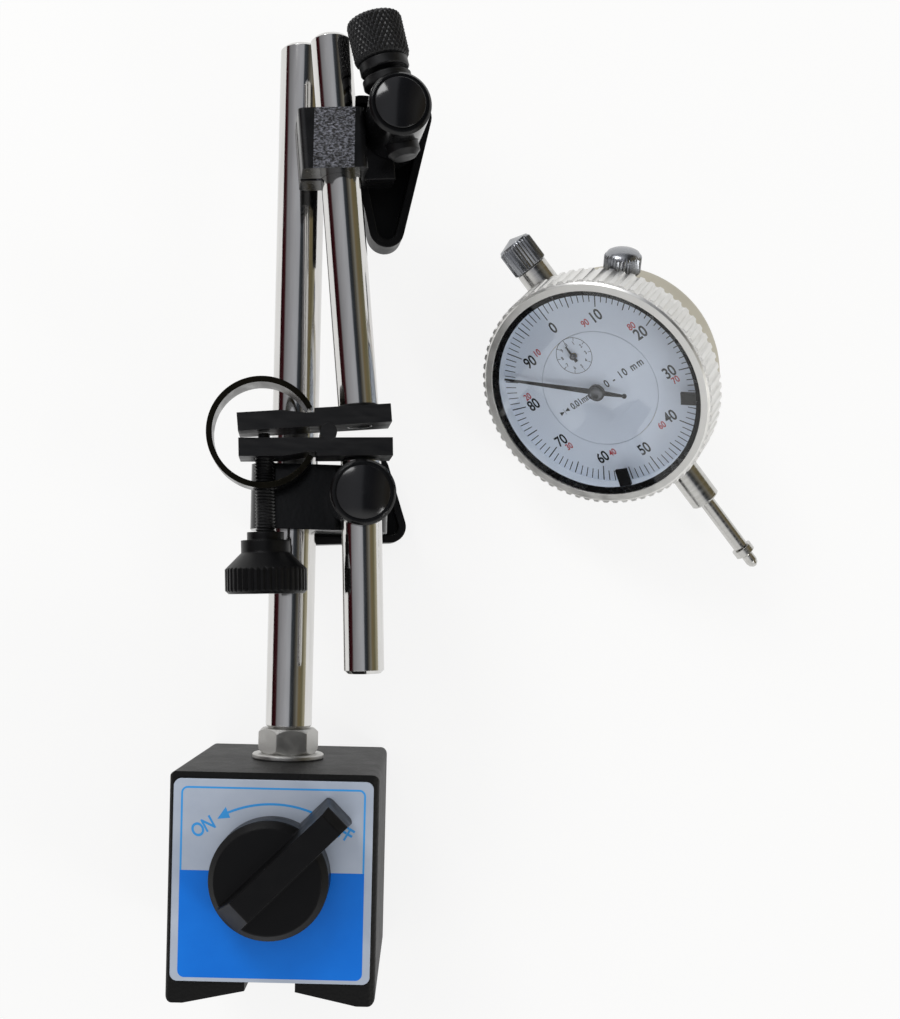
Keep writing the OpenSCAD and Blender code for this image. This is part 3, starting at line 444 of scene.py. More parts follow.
spring_steel = finish(
    "blued_spring_steel", "#16150f", "#2c2922", 3, (0.2, 0.34), 0.5, 0.006, metal=1.0, stretch=(1, 1, 5)
)
dress(spring_steel, "c_spring")

phenolic = finish(
    "moulded_black_phenolic", "#060607", "#0e0e0f", 4, (0.3, 0.44), 0.25, 0.008, edge=0.6, shine=0.2
)
dress(phenolic, "switch_knob", "cross_lever", "holder_lever", "fine_knob")

gloss_cap = finish("moulded_cap_gloss", "#0c0c0e", "#161618", 6, (0.1, 0.16), 0.6, 0.004, edge=0.4)
dress(gloss_cap, "cross_cap", "holder_cap")

# %% [markdown]
# The front of the holder block is as rough as it left the casting mould, under a thin coat, while the
# sides are smooth. It could be a piece of its own, but a mask keeps the block whole. The face is found by
# its
# normal and by a strip of its width: only there do coarse pits, 0.4 mm across and drawn out sideways,
# lift the relief, and their crests are painted grey, a painted glint for the light that the rough face
# catches.

# %% Rough front of the holder block
PIT = 0.4
PIT_STRETCH = (1.8, 1, 1)
PIT_DEPTH = 0.3
STRIP = (6.2, 15.9)
CRESTS = (0.44, 0.78)
FACES_FRONT = 0.9
rough_block = finish(
    "thin_enamel_on_rough_casting_painted_glints", "#070708", "#101011", 9, (0.2, 0.32), 1.1, 0.012, edge=0.4
)
tree = rough_block.node_tree
shader = tree.nodes["Principled BSDF"]
where = add_node(tree, "ShaderNodeTexCoord")
drawn_out = add_node(
    tree,
    "ShaderNodeMapping",
    vector_type="TEXTURE",
    links={"Vector": where.outputs["Object"]},
    inputs={"Scale": PIT_STRETCH},
)
pits = add_node(
    tree,
    "ShaderNodeTexNoise",
    links={"Vector": drawn_out.outputs["Vector"]},
    inputs={"Scale": 1 / (PIT * MM), "Detail": 5.0, "Roughness": 0.6},
)
facing = add_node(tree, "ShaderNodeSeparateXYZ", links={"Vector": where.outputs["Normal"]})
front = add_node(
    tree,
    "ShaderNodeMath",
    operation="GREATER_THAN",
    links={0: facing.outputs["Z"]},
    inputs={1: FACES_FRONT},
)
block_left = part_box("holder_block")[0].x
strip = add_node(tree, "ShaderNodeSeparateXYZ", links={"Vector": where.outputs["Object"]})
right_of_side = add_node(
    tree,
    "ShaderNodeMath",
    operation="GREATER_THAN",
    links={0: strip.outputs["X"]},
    inputs={1: block_left + STRIP[0] * MM},
)
left_of_cap = add_node(
    tree,
    "ShaderNodeMath",
    operation="LESS_THAN",
    links={0: strip.outputs["X"]},
    inputs={1: block_left + STRIP[1] * MM},
)
in_strip = add_node(
    tree,
    "ShaderNodeMath",
    operation="MULTIPLY",
    links={0: right_of_side.outputs[0], 1: left_of_cap.outputs[0]},
)
rough_face = add_node(
    tree, "ShaderNodeMath", operation="MULTIPLY", links={0: front.outputs[0], 1: in_strip.outputs[0]}
)
crests = add_node(
    tree,
    "ShaderNodeMapRange",
    links={"Value": pits.outputs["Fac"]},
    inputs={"From Min": CRESTS[0], "From Max": CRESTS[1], "To Min": 0, "To Max": 1},
)
glint = add_node(
    tree,
    "ShaderNodeMath",
    operation="MULTIPLY",
    links={0: rough_face.outputs[0], 1: crests.outputs["Result"]},
)
# The pit crests on the front face are painted grey: a painted glint, not the colour of the coat.
painted_glint_colour = add_node(
    tree,
    "ShaderNodeMix",
    data_type="RGBA",
    links={0: glint.outputs[0], 6: shader.inputs["Base Color"].links[0].from_socket},
    inputs={7: linear("#9a9ca8")},
)
pitted = add_node(
    tree,
    "ShaderNodeBump",
    links={
        "Height": pits.outputs["Fac"],
        "Strength": rough_face.outputs[0],
        "Normal": tree.nodes["relief"].outputs["Normal"],
    },
    inputs={"Distance": PIT_DEPTH * MM},
)
tree.links.new(painted_glint_colour.outputs[2], shader.inputs["Base Color"])
tree.links.new(pitted.outputs["Normal"], shader.inputs["Normal"])
dress(rough_block, "holder_block")

# %% [markdown]
# The column and the two rods are hard chrome on ground steel: almost a mirror, with faint marks along the
# rod from handling. The lock nut and its washer are zinc plated, greyer and softer.

# %% Chrome and zinc
chrome = finish(
    "hard_chrome_rod", "#c9c8c6", "#e2e1df", 1.6, (0.05, 0.14), 0.5, 0.0025, metal=1.0, stretch=(1, 9, 1)
)
dress(chrome, "column", "stub_rod", "upper_rod")
zinc = finish("zinc_plated_nut", "#b0afac", "#d0cfcc", 2.5, (0.36, 0.5), 0.4, 0.01, metal=1.0, edge=0.4)
dress(zinc, "column_nut", "column_washer")

# %% [markdown]
# ## The indicator's own frame
# The indicator leans, so its dial, its print and its turned pieces need their own axes. The record's
# joints give them: the hand turns about the dial's normal, and the plunger slides along the stem.

# %% Axes of the dial
dial_centre = Vector(joints["hand_turn"]["pos_m"])
dial_up = Vector(joints["plunger_slide"]["axis"]).normalized()
dial_out = -Vector(joints["hand_turn"]["axis"]).normalized()
dial_right = dial_up.cross(dial_out).normalized()
dial_axes = Matrix((dial_right, dial_up, dial_out)).transposed()
dial_place = Matrix.Translation(dial_centre) @ dial_axes.to_4x4()
dial_turn = dial_axes.to_euler()
print("dial at", [round(v / MM, 1) for v in dial_centre])

# %% [markdown]
# The case is blasted aluminium with a clear anodised skin; its warm beige tint is a painted reflection of
# a warm room. The bezel is turned and softly polished, so it mirrors only broad light and dark. Stem,
# neck and plunger are turned steel, with rings round them from the lathe: the noise is drawn out across
# the stem, coarser than the real marks so that they show. The two knurled heads are nickel plated. The
# movement inside is brass, and the magnet in the base is a grey ferrite, pressed and baked like a tile.

# %% Metals of the indicator
# The grey of these colours is the metal's own; their warm tint is a painted reflection of a warm room.
blasted_case = finish(
    "blasted_aluminium_case", "#b6b1a1", "#cbc6b7", 5, (0.36, 0.5), 0.4, 0.012, metal=1.0, edge=0.4
)
dress(blasted_case, "case", "back_cover")
polished_bezel = finish(
    "polished_aluminium_bezel", "#dcdcda", "#f0efec", 3, (0.34, 0.48), 0.8, 0.003, metal=1.0, edge=0.2
)
dress(polished_bezel, "bezel")
turned_steel = finish(
    "turned_bright_steel",
    "#b1b0ad",
    "#d8d7d4",
    0.9,
    (0.14, 0.26),
    0.35,
    0.004,
    metal=1.0,
    stretch=(8, 1, 8),
    turn=dial_turn,
    edge=0.2,
)
dress(turned_steel, "stem_bush", "cap_neck", "plunger", "contact_point", "back_screws")
knurled_nickel = finish(
    "nickel_plated_knurl", "#86888c", "#abadb1", 2, (0.2, 0.34), 0.4, 0.004, metal=1.0, edge=0.08
)
dress(knurled_nickel, "dust_cap", "bezel_clamp_screw")
machined_brass = finish("machined_brass", "#b08d3f", "#cfae62", 2, (0.22, 0.36), 0.4, 0.004, metal=1.0)
dress(machined_brass, "lower_plate", "upper_plate", "plate_pillars")
dress(machined_brass, "rack_wheel", "takeup_wheel", "centre_pinion")
ferrite = finish("sintered_ferrite", "#3c3c3f", "#55565a", 1.5, (0.5, 0.7), 0.3, 0.02)
dress(ferrite, "magnet_rotor")

# %% [markdown]
# The dial is a thin aluminium sheet sprayed cool white, with a very even matt coat. The hands and the two
# limit tabs are black: lacquer on the hands, satin paint on the tabs. The ring round the dial is black at
# its top edge, under the window, and below it is painted pale: painted light that the white dial throws
# on it.
# The height above the dial tells the two apart, so one material does both and the ring stays whole.

# %% Dial, tabs, ring and hands
BLACK_EDGE = 3.6
dial_coat = finish("matt_white_dial_coat", "#dae0eb", "#e4eaf4", 14, (0.4, 0.5), 0.3, 0.002)
dress(dial_coat, "dial_ring", "dial_centre")
satin_black = finish("satin_black_paint", "#070708", "#0e0e0f", 3, (0.55, 0.7), 0.3, 0.004, shine=0.1)
dress(satin_black, "limit_marker_low", "limit_marker_high")

ring_coat = finish("ring_with_black_edge", "#070708", "#0e0e0f", 3, (0.5, 0.65), 0.3, 0.004, shine=0.15)
tree = ring_coat.node_tree
shader = tree.nodes["Principled BSDF"]
where = add_node(tree, "ShaderNodeTexCoord")
above_dial = add_node(
    tree,
    "ShaderNodeVectorMath",
    operation="DOT_PRODUCT",
    links={0: where.outputs["Object"]},
    inputs={1: dial_out},
)
is_wall = add_node(
    tree,
    "ShaderNodeMath",
    operation="LESS_THAN",
    links={0: above_dial.outputs["Value"]},
    inputs={1: dial_centre.dot(dial_out) + BLACK_EDGE * MM},
)
# Below the black edge the wall is painted pale: painted light thrown onto it by the white dial.
painted_dial_light = add_node(
    tree,
    "ShaderNodeMix",
    data_type="RGBA",
    links={0: is_wall.outputs[0], 6: shader.inputs["Base Color"].links[0].from_socket},
    inputs={7: linear("#d3d8df")},
)
tree.links.new(painted_dial_light.outputs[2], shader.inputs["Base Color"])
dress(ring_coat, "bezel_ring")

hand_lacquer = finish(
    "black_hand_lacquer", "#060607", "#0c0c0e", 2, (0.4, 0.5), 0.3, 0.002, edge=0.08, shine=0.2
)
dress(hand_lacquer, "main_hand", "counter_hand")

# %% [markdown]
# The window is a clear moulded acrylic disc. Refraction shows its thickness, and its reflection is kept
# weak so that the print below stays clear. Shadow rays pass straight through, so the dial isn't dark.

# %% Window
WINDOW_VALUES = {
    "Base Color": linear("#fbfdff"),
    "Roughness": 0.02,
    "IOR": 1.49,
    "Transmission Weight": 1.0,
    "Specular IOR Level": 0.2,
}
acrylic = bpy.data.materials.new("clear_acrylic_window")
acrylic.use_nodes = True
tree = acrylic.node_tree
window = tree.nodes["Principled BSDF"]
set_inputs(window, WINDOW_VALUES)
clear = add_node(tree, "ShaderNodeBsdfTransparent", inputs={"Color": linear("#f4f7fa")})
window_rays = add_node(tree, "ShaderNodeLightPath")
lit_through = add_node(
    tree,
    "ShaderNodeMixShader",
    links={0: window_rays.outputs["Is Shadow Ray"], 1: window.outputs[0], 2: clear.outputs[0]},
)
tree.links.new(lit_through.outputs[0], tree.nodes["Material Output"].inputs["Surface"])
dress(acrylic, "crystal")

# %% [markdown]
# ## Printing
# A printed mark is a flat outline that lies a hair above its surface. It could be a texture, but outlines
# stay sharp at any distance. One function collects polygons and letters drawn in millimetres, moves them
# to their place and gives them an ink.

# %% Printing helpers
INK_LIFT = 0.02
CAPITAL_SHARE = 0.7
NARROW = 0.82
BOLDNESS = 0.03


def letters(words, size, spacing=1.0):
    """Narrow text as a flat mesh of the given capital height, centred on the origin."""
    curve = bpy.data.curves.new("letters", "FONT")
    curve.body = words
    curve.size = size / CAPITAL_SHARE
    curve.align_x = "CENTER"
    curve.align_y = "CENTER"
    curve.space_character = spacing
    curve.offset = BOLDNESS * size
    holder = bpy.data.objects.new("letters", curve)
    bpy.context.collection.objects.link(holder)
    graph = bpy.context.evaluated_depsgraph_get()
    mesh = bpy.data.meshes.new_from_object(holder.evaluated_get(graph))
    bpy.data.objects.remove(holder)
    bpy.data.curves.remove(curve)
    mesh.materials.clear()
    mesh.transform(Matrix.Scale(NARROW, 4, (1, 0, 0)))
    return mesh


def add_piece(name, mesh, material, body):
    """Links a mesh as a piece of the object that rides on a body."""
    mesh.materials.append(material)
    piece = bpy.data.objects.new(name, mesh)
    bpy.context.collection.objects.link(piece)
    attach(piece, body)
    print(name, "faces", len(mesh.polygons), "on", body)
    return piece


def print_marks(name, place, outlines, words, material, body):
    """Prints polygons and words, both in mm, on the plane of a place."""
    sheet = bmesh.new()
    for outline in outlines:
        sheet.faces.new([sheet.verts.new((x, y, 0)) for x, y in outline])
    bmesh.ops.triangulate(sheet, faces=sheet.faces[:])
    for text, size, (x, y), turn, *spacing in words:
        mesh = letters(text, size, *spacing)
        mesh.transform(Matrix.Translation((x, y, 0)) @ Matrix.Rotation(math.radians(turn), 4, "Z"))
        sheet.from_mesh(mesh)
    mesh = bpy.data.meshes.new(name)
    sheet.to_mesh(mesh)
    sheet.free()
    mesh.transform(place @ Matrix.Scale(MM, 4))
    add_piece(name, mesh, material, body)


def polar(radius, angle):
    """A point on a circle, the angle in degrees clockwise from the top."""
    return radius * math.sin(math.radians(angle)), radius * math.cos(math.radians(angle))


def stroke(inner, outer, angle, width):
    """A radial stroke as a four-cornered outline."""
    half = math.degrees(width / 2 / ((inner + outer) / 2))
    near, far = angle - half, angle + half
    return [polar(inner, near), polar(outer, near), polar(outer, far), polar(inner, far)]


def arc_band(centre, radius, width, start, end, steps):
    """A band along an arc, as a row of four-cornered outlines."""
    cx, cy = centre
    edges = []
    for i in range(steps + 1):
        angle = start + (end - start) * i / steps
        across = [polar(radius + side * width / 2, angle) for side in (-1, 1)]
        edges.append([(cx + x, cy + y) for x, y in across])
    return [[a[0], a[1], b[1], b[0]] for a, b in zip(edges, edges[1:])]


print("ink lies", INK_LIFT, "mm above its surface")

# %% [markdown]
# ## The dial's print
# One turn of the hand is 1 mm in a hundred divisions. The black numbers count up clockwise and small red
# ones count back beside them. All of this is on the ring that turns with the bezel. The middle of the
# dial stands still and carries the turn counter and the two plain range marks.

# %% Inks
black_ink = finish("black_printing_ink", "#0e0f12", "#191a1e", 1, (0.4, 0.55), 0.2, 0.001)
red_ink = finish("red_printing_ink", "#b02a30", "#c43a3e", 1, (0.4, 0.55), 0.2, 0.001)
print("inks", black_ink.name, red_ink.name)

# %% Divisions
DIVISIONS = 100
TICK_OUTER = 26.5
# Every tenth and every fifth stroke reaches further in than the short ones.
TICK_INNER = {0: 22.3, 5: 22.9}
SHORT_INNER = 23.6
LONG_WIDTH = 0.3
SHORT_WIDTH = 0.24
dial_print = dial_place @ Matrix.Translation((0, 0, INK_LIFT * MM))
ticks = []
for i in range(DIVISIONS):
    inner = TICK_INNER.get(i % 10, SHORT_INNER)
    width = LONG_WIDTH if i % 5 == 0 else SHORT_WIDTH
    ticks.append(stroke(inner, TICK_OUTER, 360 / DIVISIONS * i, width))
print_marks("dial_ticks", dial_print, ticks, [], black_ink, "bezel")

# %% Numbers
TENTH_TURN = 36
NUMBER_RADIUS = 19.8
NUMBER_SIZE = 2.9
numbers = [(str(10 * i), NUMBER_SIZE, polar(NUMBER_RADIUS, TENTH_TURN * i), 0) for i in range(10)]
print_marks("dial_numbers", dial_print, [], numbers, black_ink, "bezel")

RED_SIZE = 1.75
# How far right of and above its black number each red one stands.
RED_OFFSETS = {
    1: (-3.5, 0.1),
    2: (-0.9, 2.7),
    3: (0.1, -2.5),
    4: (-3.4, -0.8),
    6: (3.3, -0.2),
    7: (0.9, -2.5),
    8: (0.0, 2.7),
    9: (3.3, 0.9),
}
red_numbers = []
for i, (right, up) in RED_OFFSETS.items():
    x, y = polar(NUMBER_RADIUS, TENTH_TURN * i)
    red_numbers.append((str(100 - 10 * i), RED_SIZE, (x + right, y + up), 0))
print_marks("dial_red_numbers", dial_print, [], red_numbers, red_ink, "bezel")

# %% Turn counter
COUNTER_RADIUS = 4.9
COUNTER_LINE = 0.14
COUNTER_TICK = 0.9
COUNTER_STEPS = 60
DIGIT_INSET = 1.5
DIGIT_SIZE = 0.95
counter_at = dial_axes.inverted() @ (Vector(joints["rack_wheel_turn"]["pos_m"]) - dial_centre) / MM
middle_marks = arc_band(counter_at.xy, COUNTER_RADIUS, COUNTER_LINE, 0, 360, COUNTER_STEPS)
middle_words = []
for i in range(10):
    mark = stroke(COUNTER_RADIUS - COUNTER_TICK, COUNTER_RADIUS, TENTH_TURN * i, COUNTER_LINE)
    middle_marks.append([(counter_at.x + x, counter_at.y + y) for x, y in mark])
    x, y = polar(COUNTER_RADIUS - DIGIT_INSET, TENTH_TURN * i)
    middle_words.append((str(i), DIGIT_SIZE, (counter_at.x + x, counter_at.y + y), 0))
print("counter at", [round(v, 1) for v in counter_at.xy])

# %% Range marks
# Words are given with their height, place, turn and, where it isn't 1, spacing.
RANGE_WORDS = [("0 - 10 mm", 2.0, (8.4, 0.1), 0, 1.3), ("0.01mm", 1.8, (-6.5, 0.0), 0)]
ARROW_X = -12.4
ARROW_GAP = 0.1
ARROW_LENGTH = 1.5
ARROW_HALF = 0.55
BAR_HALF = 0.05
BAR_REACH = 0.9
for side in (-1, 1):
    tip, tail = ARROW_X + side * ARROW_GAP, ARROW_X + side * ARROW_LENGTH
    middle_marks.append([(tip, 0), (tail, ARROW_HALF), (tail, -ARROW_HALF)])
left, right = ARROW_X - BAR_HALF, ARROW_X + BAR_HALF
middle_marks.append([(left, -BAR_REACH), (right, -BAR_REACH), (right, BAR_REACH), (left, BAR_REACH)])
middle_words += RANGE_WORDS
print_marks("dial_middle_print", dial_print, middle_marks, middle_words, black_ink, "indicator")

# %% [markdown]
# ## The switch's label
# The plate behind the switch is a foil label: silver above, blue below, with a thin blue frame and an arc
# with two arrow heads between the words for the two places of the switch. The silver is slightly cloudy.
# One material with masks could draw it too, but outlines keep the arc and the words sharp.

# %% Label foil and blue inks
label_foil = finish("silver_label_foil", "#aebacd", "#d3dcea", 11, (0.28, 0.5), 1.5, 0.01, metal=0.35)
dress(label_foil, "label_plate")
blue_ink = finish("blue_label_ink", "#0068d2", "#0c80ee", 16, (0.3, 0.42), 1.5, 0.006, shine=0.25)
line_ink = finish("light_blue_label_ink", "#2a93e2", "#38a4ee", 10, (0.3, 0.42), 1.5, 0.004)

# %% Blue panel
FRAME_INSET = 1.8
BLUE_TOP = 2.3
BLUE_FOOT = 0.9
ROUND = 1.6
CORNER_STEP = 15
label_low, label_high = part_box("label_plate")
label_middle = (label_low + label_high) / 2
label_print = Matrix.Translation((label_middle.x, label_middle.y, label_high.z + INK_LIFT * MM))
label_half_w = (label_high.x - label_low.x) / 2 / MM
label_half_h = (label_high.y - label_low.y) / 2 / MM
frame_x = label_half_w - FRAME_INSET
frame_y = label_half_h - FRAME_INSET


def corner(x, y, start, radius=ROUND):
    """A rounded corner about (x, y), from a start angle, clockwise from the top."""
    turns = [start + CORNER_STEP * i for i in range(90 // CORNER_STEP + 1)]
    return [(x + a, y + b) for a, b in (polar(radius, turn) for turn in turns)]


blue_low = -label_half_h + BLUE_FOOT
blue_panel = (
    [(-frame_x, BLUE_TOP), (frame_x, BLUE_TOP)]
    + corner(frame_x - ROUND, blue_low + ROUND, 90)
    + corner(ROUND - frame_x, blue_low + ROUND, 180)
)
print_marks("label_blue_panel", label_print, [blue_panel], [], blue_ink, "base")

# %% Frame, arc and words
FRAME_WIDTH = 0.45
ARC_RADIUS = 26.3
ARC_TOP = 18.3
ARC_X = -0.2
ARC_END = 23.5
ARC_WIDTH = 0.55
ARC_STEPS = 24
POINT_TURN = 6.5
POINT_DROP = 0.25
BARB_OUT = 1.45
BARB_IN = 1.35
SWITCH_WORDS = [("ON", 3.2, (-16.5, 12.5), 30, 0.9), ("OFF", 3.2, (16.0, 12.3), -30, 0.9)]


def over_the_top(inset):
    """The path of the frame from the blue panel over the top and back, moved in by an inset."""
    return (
        [(inset - frame_x, BLUE_TOP)]
        + corner(ROUND - frame_x, frame_y - ROUND, 270, ROUND - inset)
        + corner(frame_x - ROUND, frame_y - ROUND, 0, ROUND - inset)
        + [(frame_x - inset, BLUE_TOP)]
    )


outer_path, inner_path = over_the_top(0), over_the_top(FRAME_WIDTH)
frame_line = [
    [a, b, d, c] for a, b, c, d in zip(outer_path, outer_path[1:], inner_path, inner_path[1:])
]
arc_centre = (ARC_X, ARC_TOP - ARC_RADIUS)
arrow = arc_band(arc_centre, ARC_RADIUS, ARC_WIDTH, -ARC_END, ARC_END, ARC_STEPS)
for side in (-1, 1):
    head = [
        polar(ARC_RADIUS - POINT_DROP, side * (ARC_END + POINT_TURN)),
        polar(ARC_RADIUS + BARB_OUT, side * ARC_END),
        polar(ARC_RADIUS - BARB_IN, side * ARC_END),
    ]
    arrow.append([(arc_centre[0] + x, arc_centre[1] + y) for x, y in head])
label_lines = frame_line + arrow
print_marks("label_frame_and_arc", label_print, label_lines, SWITCH_WORDS, line_ink, "base")

# %% [markdown]
# ## Turned pieces with a cut surface
# The thread of the fine screw and the diamond knurl of the lug nut are what the hand feels, and their
# outlines show, so a bump in the material wouldn't do. Both are made as rings of points round an axis,
# from a profile of places and radii and a rule for the cut: a groove that climbs with the angle for the
# thread, two crossing sets for the knurl.

# %% Ring builder
SHARP_ANGLE = 35
ROUND_SIDES = 32
SIDES_PER_TOOTH = 6
# Turns a ringed mesh from +Y to +Z, out of the dial.
UPRIGHT = Matrix.Rotation(math.radians(90), 4, "X")


def ringed(name, profile, sides, groove=None):
    """A closed turned mesh along +Y from places and radii in mm. A groove gives the depth of its cut."""
    points, faces = [], []
    for y, radius in profile:
        for k in range(sides):
            angle = 2 * math.pi * k / sides
            r = radius - (groove(y, radius, angle) if groove else 0)
            points.append((r * math.cos(angle) * MM, y * MM, r * math.sin(angle) * MM))
    for i in range(len(profile) - 1):
        for k in range(sides):
            a, b = i * sides + k, i * sides + (k + 1) % sides
            faces.append((a, a + sides, b + sides, b))
    faces.append(tuple(range(sides)))
    last = (len(profile) - 1) * sides
    faces.append(tuple(reversed(range(last, last + sides))))
    mesh = bpy.data.meshes.new(name)
    mesh.from_pydata(points, [], faces)
    for face in mesh.polygons:
        face.use_smooth = len(face.vertices) == 4
    mesh.set_sharp_from_angle(angle=math.radians(SHARP_ANGLE))
    return mesh


def turn_to(axis):
    """The turn that brings +Y onto an axis."""
    return Vector((0, 1, 0)).rotation_difference(Vector(axis)).to_matrix().to_4x4()


def along_axis(node, axis):
    """A place at the middle of a node, with +Y along an axis."""
    low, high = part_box(node)
    return Matrix.Translation((low + high) / 2) @ turn_to(axis)


def points_in(place, node):
    """The points of a node in the axes of a place, in mm."""
    inward = place.inverted()
    return [inward @ v.co / MM for v in frame["nodes"][node].data.vertices]


def zigzag(value):
    """A triangle wave between 0 and 1 with one period per unit."""
    return abs(2 * (value - math.floor(value)) - 1)


print("edges over", SHARP_ANGLE, "degrees stay sharp")

# %% Fine screw thread
SCREW_RADIUS = 2.5
THREAD_PITCH = 0.8
THREAD_DEPTH = 0.42
RINGS_PER_PITCH = 8
TIP_LENGTH = 1.0
TIP_RADIUS = 1.45
screw_low, screw_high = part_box("fine_screw")
screw_half = (screw_high.y - screw_low.y) / 2 / MM
ring_step = THREAD_PITCH / RINGS_PER_PITCH
thread_end = screw_half - TIP_LENGTH
ring_count = int((thread_end + screw_half) / ring_step)
screw_profile = [(-screw_half + i * ring_step, SCREW_RADIUS) for i in range(ring_count)]
screw_profile += [(thread_end, TIP_RADIUS), (screw_half, TIP_RADIUS)]


def thread_groove(y, radius, angle):
    """The depth of the thread, which climbs with the angle and ends before the tip."""
    if radius < SCREW_RADIUS:
        return 0
    return THREAD_DEPTH * zigzag(y / THREAD_PITCH - angle / (2 * math.pi))


thread = ringed("fine_screw_thread", screw_profile, ROUND_SIDES, thread_groove)
thread.transform(along_axis("fine_screw", joints["fine_screw_advance"]["axis"]))
screw_piece = add_piece("fine_screw_thread", thread, black_steel, "fine_screw")
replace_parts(screw_piece, "fine_screw")

# %% Knurled lug nut
NUT_RADIUS = 6.85
NUT_HEIGHT = 10.5
NUT_RINGS = 84
EDGE_LENGTH = 1.0
EDGE_ROUNDING = 0.9
KNURL_COUNT = 34
KNURL_DEPTH = 0.42
KNURL_SLANT = 1.55
knurl_climb = 2 * math.pi * NUT_RADIUS / KNURL_COUNT * KNURL_SLANT
nut_profile = []
for i in range(NUT_RINGS + 1):
    y = NUT_HEIGHT * (i / NUT_RINGS - 0.5)
    rounding = max(0.0, EDGE_LENGTH - NUT_HEIGHT / 2 + abs(y)) ** 2 * EDGE_ROUNDING
    nut_profile.append((y, NUT_RADIUS - rounding))


def diamond_groove(y, radius, angle):
    """The depth of two crossing sets of grooves."""
    around = angle * KNURL_COUNT / (2 * math.pi)
    return KNURL_DEPTH * (1 - min(zigzag(around + y / knurl_climb), zigzag(around - y / knurl_climb)))


nut = ringed("lug_nut_knurl", nut_profile, KNURL_COUNT * SIDES_PER_TOOTH, diamond_groove)
nut.transform(along_axis("lug_nut", joints["lug_nut_turn"]["axis"]))
nut_piece = add_piece("lug_nut_knurl", nut, black_steel, "lug_nut")
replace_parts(nut_piece, "lug_nut")

# %% [markdown]
# The dust cap over the plunger's end and the head of the bezel's clamp screw have a fine straight knurl,
# rolled in. Their teeth are 0.9 mm apart. The cap is hollow for the plunger and ends in a low cone, and
# the head has a smooth dome. Both profiles are written down as places along the axis and radii.

# %% Straight knurl
TOOTH_STEP = 0.9
TOOTH_DEPTH = 0.36


def knurled_head(name, profile, rim, place, body, node):
    """A turned head whose rim carries straight teeth."""
    teeth = round(2 * math.pi * rim / TOOTH_STEP)

    def tooth(y, radius, angle):
        if radius < rim:
            return 0
        return TOOTH_DEPTH * zigzag(teeth * angle / (2 * math.pi))

    mesh = ringed(name, profile, teeth * SIDES_PER_TOOTH, tooth)
    mesh.transform(place)
    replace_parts(add_piece(name, mesh, knurled_nickel, body), node)


print("teeth every", TOOTH_STEP, "mm")

# %% Dust cap
CHAMFER = 0.3
CAP_RADIUS = 4.65
CAP_BORE = 2.5
CAP_PROFILE = [
    (6.0, CAP_BORE),
    (0.0, CAP_BORE),
    (0.0, CAP_RADIUS - CHAMFER),
    (CHAMFER, CAP_RADIUS),
    (6.7, CAP_RADIUS),
    (7.0, CAP_RADIUS - CHAMFER),
    (7.5, CAP_RADIUS - 0.5),
    (8.7, 0.5),
    (8.8, 0.2),
]
cap_points = points_in(dial_place, "dust_cap")
cap_foot = min(point.y for point in cap_points)
stem_depth = (min(point.z for point in cap_points) + max(point.z for point in cap_points)) / 2
cap_place = dial_place @ Matrix.Translation((0, cap_foot * MM, stem_depth * MM))
knurled_head("dust_cap_knurl", CAP_PROFILE, CAP_RADIUS, cap_place, "indicator", "dust_cap")

# %% Clamp screw
HEAD_RADIUS = 4.7
HEAD_LENGTH = 6.0
SHANK_RADIUS = 1.5
TEETH_END = 1.9
# How far each ring of the dome lies below the top and inside the rim.
DOME = [(1.5, 0.35), (0.9, 0.8), (0.5, 1.6), (0.2, 2.7), (0.05, 3.8)]
DOME_TIP = 0.3
clamp = joints["bezel_clamp_turn"]
clamp_place = Matrix.Translation(clamp["pos_m"]) @ turn_to(clamp["axis"])
clamp_points = points_in(clamp_place, "bezel_clamp_screw")
shank_foot = min(point.y for point in clamp_points)
head_top = max(point.y for point in clamp_points)
head_foot = head_top - HEAD_LENGTH
head_profile = [
    (shank_foot, SHANK_RADIUS),
    (head_foot, SHANK_RADIUS),
    (head_foot, HEAD_RADIUS - CHAMFER),
    (head_foot + CHAMFER, HEAD_RADIUS),
    (head_top - TEETH_END, HEAD_RADIUS),
]
head_profile += [(head_top - drop, HEAD_RADIUS - inside) for drop, inside in DOME]
head_profile.append((head_top, DOME_TIP))
knurled_head(
    "clamp_screw_knurl", head_profile, HEAD_RADIUS, clamp_place, "bezel_clamp_screw", "bezel_clamp_screw"
)

# %% [markdown]
# ## Main hand
# The hand is stamped from thin sheet: a blade that narrows to its tip, and behind the hub a slim tail
# with a round weight at its end that keeps the hand in balance. The outline is drawn once and raised to
# the thickness of the sheet, and a round boss joins it to its arbor.

# %% Outline of the hand
TIP_HALF = 0.25
TIP_TOLERANCE = 0.01
ROOT_HALF = 0.75
TAIL_HALF = 0.35
WEIGHT_AT = -7.4
WEIGHT_RADIUS = 0.65
WEIGHT_STEPS = 12
hand_points = points_in(dial_place, "main_hand")
hand_length = max(point.xy.length for point in hand_points)
tip_points = [point.xy for point in hand_points if point.xy.length > hand_length - TIP_TOLERANCE]
tip_middle = sum(tip_points, Vector((0, 0))) / len(tip_points)
neck = math.acos(-TAIL_HALF / WEIGHT_RADIUS)
sweep = 2 * math.pi - 2 * (neck - math.pi / 2)
outline = [(TIP_HALF, tip_middle.length), (-TIP_HALF, tip_middle.length), (-ROOT_HALF, 0)]
for i in range(WEIGHT_STEPS + 1):
    angle = neck + sweep * i / WEIGHT_STEPS
    outline.append((WEIGHT_RADIUS * math.cos(angle), WEIGHT_AT + WEIGHT_RADIUS * math.sin(angle)))
outline.append((ROOT_HALF, 0))
print("hand", round(tip_middle.length, 1), "mm long")

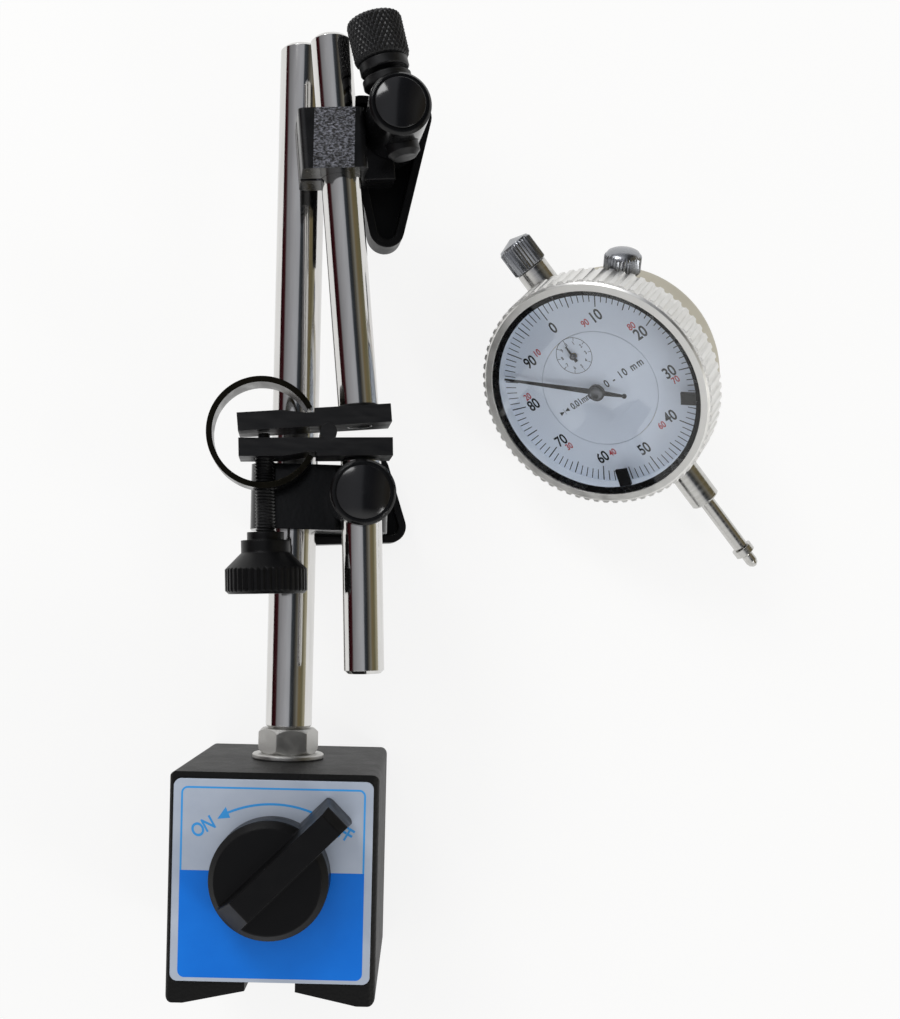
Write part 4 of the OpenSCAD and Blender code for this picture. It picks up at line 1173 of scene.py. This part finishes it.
# %% Blade, tail and boss of the hand
HAND_THICKNESS = 0.3
BOSS_RADIUS = 2.2
hand_low = min(point.z for point in hand_points)
hand_high = max(point.z for point in hand_points)
stamped = bmesh.new()
under = [stamped.verts.new((x * MM, y * MM, 0)) for x, y in outline]
upper = [stamped.verts.new((x * MM, y * MM, HAND_THICKNESS * MM)) for x, y in outline]
stamped.faces.new(upper)
stamped.faces.new(under[::-1])
for i in range(len(outline)):
    j = (i + 1) % len(outline)
    stamped.faces.new((under[i], under[j], upper[j], upper[i]))
bmesh.ops.triangulate(stamped, faces=stamped.faces[:])
boss = ringed("hand_boss", [(0, BOSS_RADIUS), (hand_high - hand_low, BOSS_RADIUS)], ROUND_SIDES)
boss.transform(UPRIGHT)
stamped.from_mesh(boss)
hand_mesh = bpy.data.meshes.new("main_hand_blade")
stamped.to_mesh(hand_mesh)
stamped.free()
heading = math.atan2(-tip_middle.x, tip_middle.y)
hand_place = dial_place @ Matrix.Translation((0, 0, hand_low * MM)) @ Matrix.Rotation(heading, 4, "Z")
hand_mesh.transform(hand_place)
blade = add_piece("main_hand_blade", hand_mesh, hand_lacquer, "main_hand")
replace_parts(blade, "main_hand")

# %% [markdown]
# ## Hand hubs
# Each hand is held by a small domed hub of dark polished steel, pressed on its arbor. It is a turned
# piece without a cut, so the ring builder makes it, and its edge glints.

# %% Hubs
# Shares of the hub's height and radius.
HUB_PROFILE = [(0.0, 1.0), (0.35, 1.0), (0.6, 0.94), (0.8, 0.8), (0.92, 0.55), (1.0, 0.2)]
HUB_SINK = 0.02
hub_steel = finish(
    "polished_hub_steel", "#4c4d50", "#6b6c70", 0.8, (0.08, 0.16), 0.3, 0.001, metal=1.0, edge=0.05
)


def hub(name, node, middle, radius, height, body):
    """A low domed hub that sits on top of a hand."""
    mesh = ringed(name, [(height * along, radius * share) for along, share in HUB_PROFILE], ROUND_SIDES)
    mesh.transform(UPRIGHT)
    top = max(point.z for point in points_in(dial_place, node))
    x, y = middle
    mesh.transform(dial_place @ Matrix.Translation((x * MM, y * MM, (top - HUB_SINK) * MM)))
    add_piece(name, mesh, hub_steel, body)


hub("main_hand_hub", "main_hand", (0, 0), radius=1.8, height=0.5, body="main_hand")
hub("counter_hand_hub", "counter_hand", counter_at.xy, radius=0.65, height=0.3, body="rack_wheel")
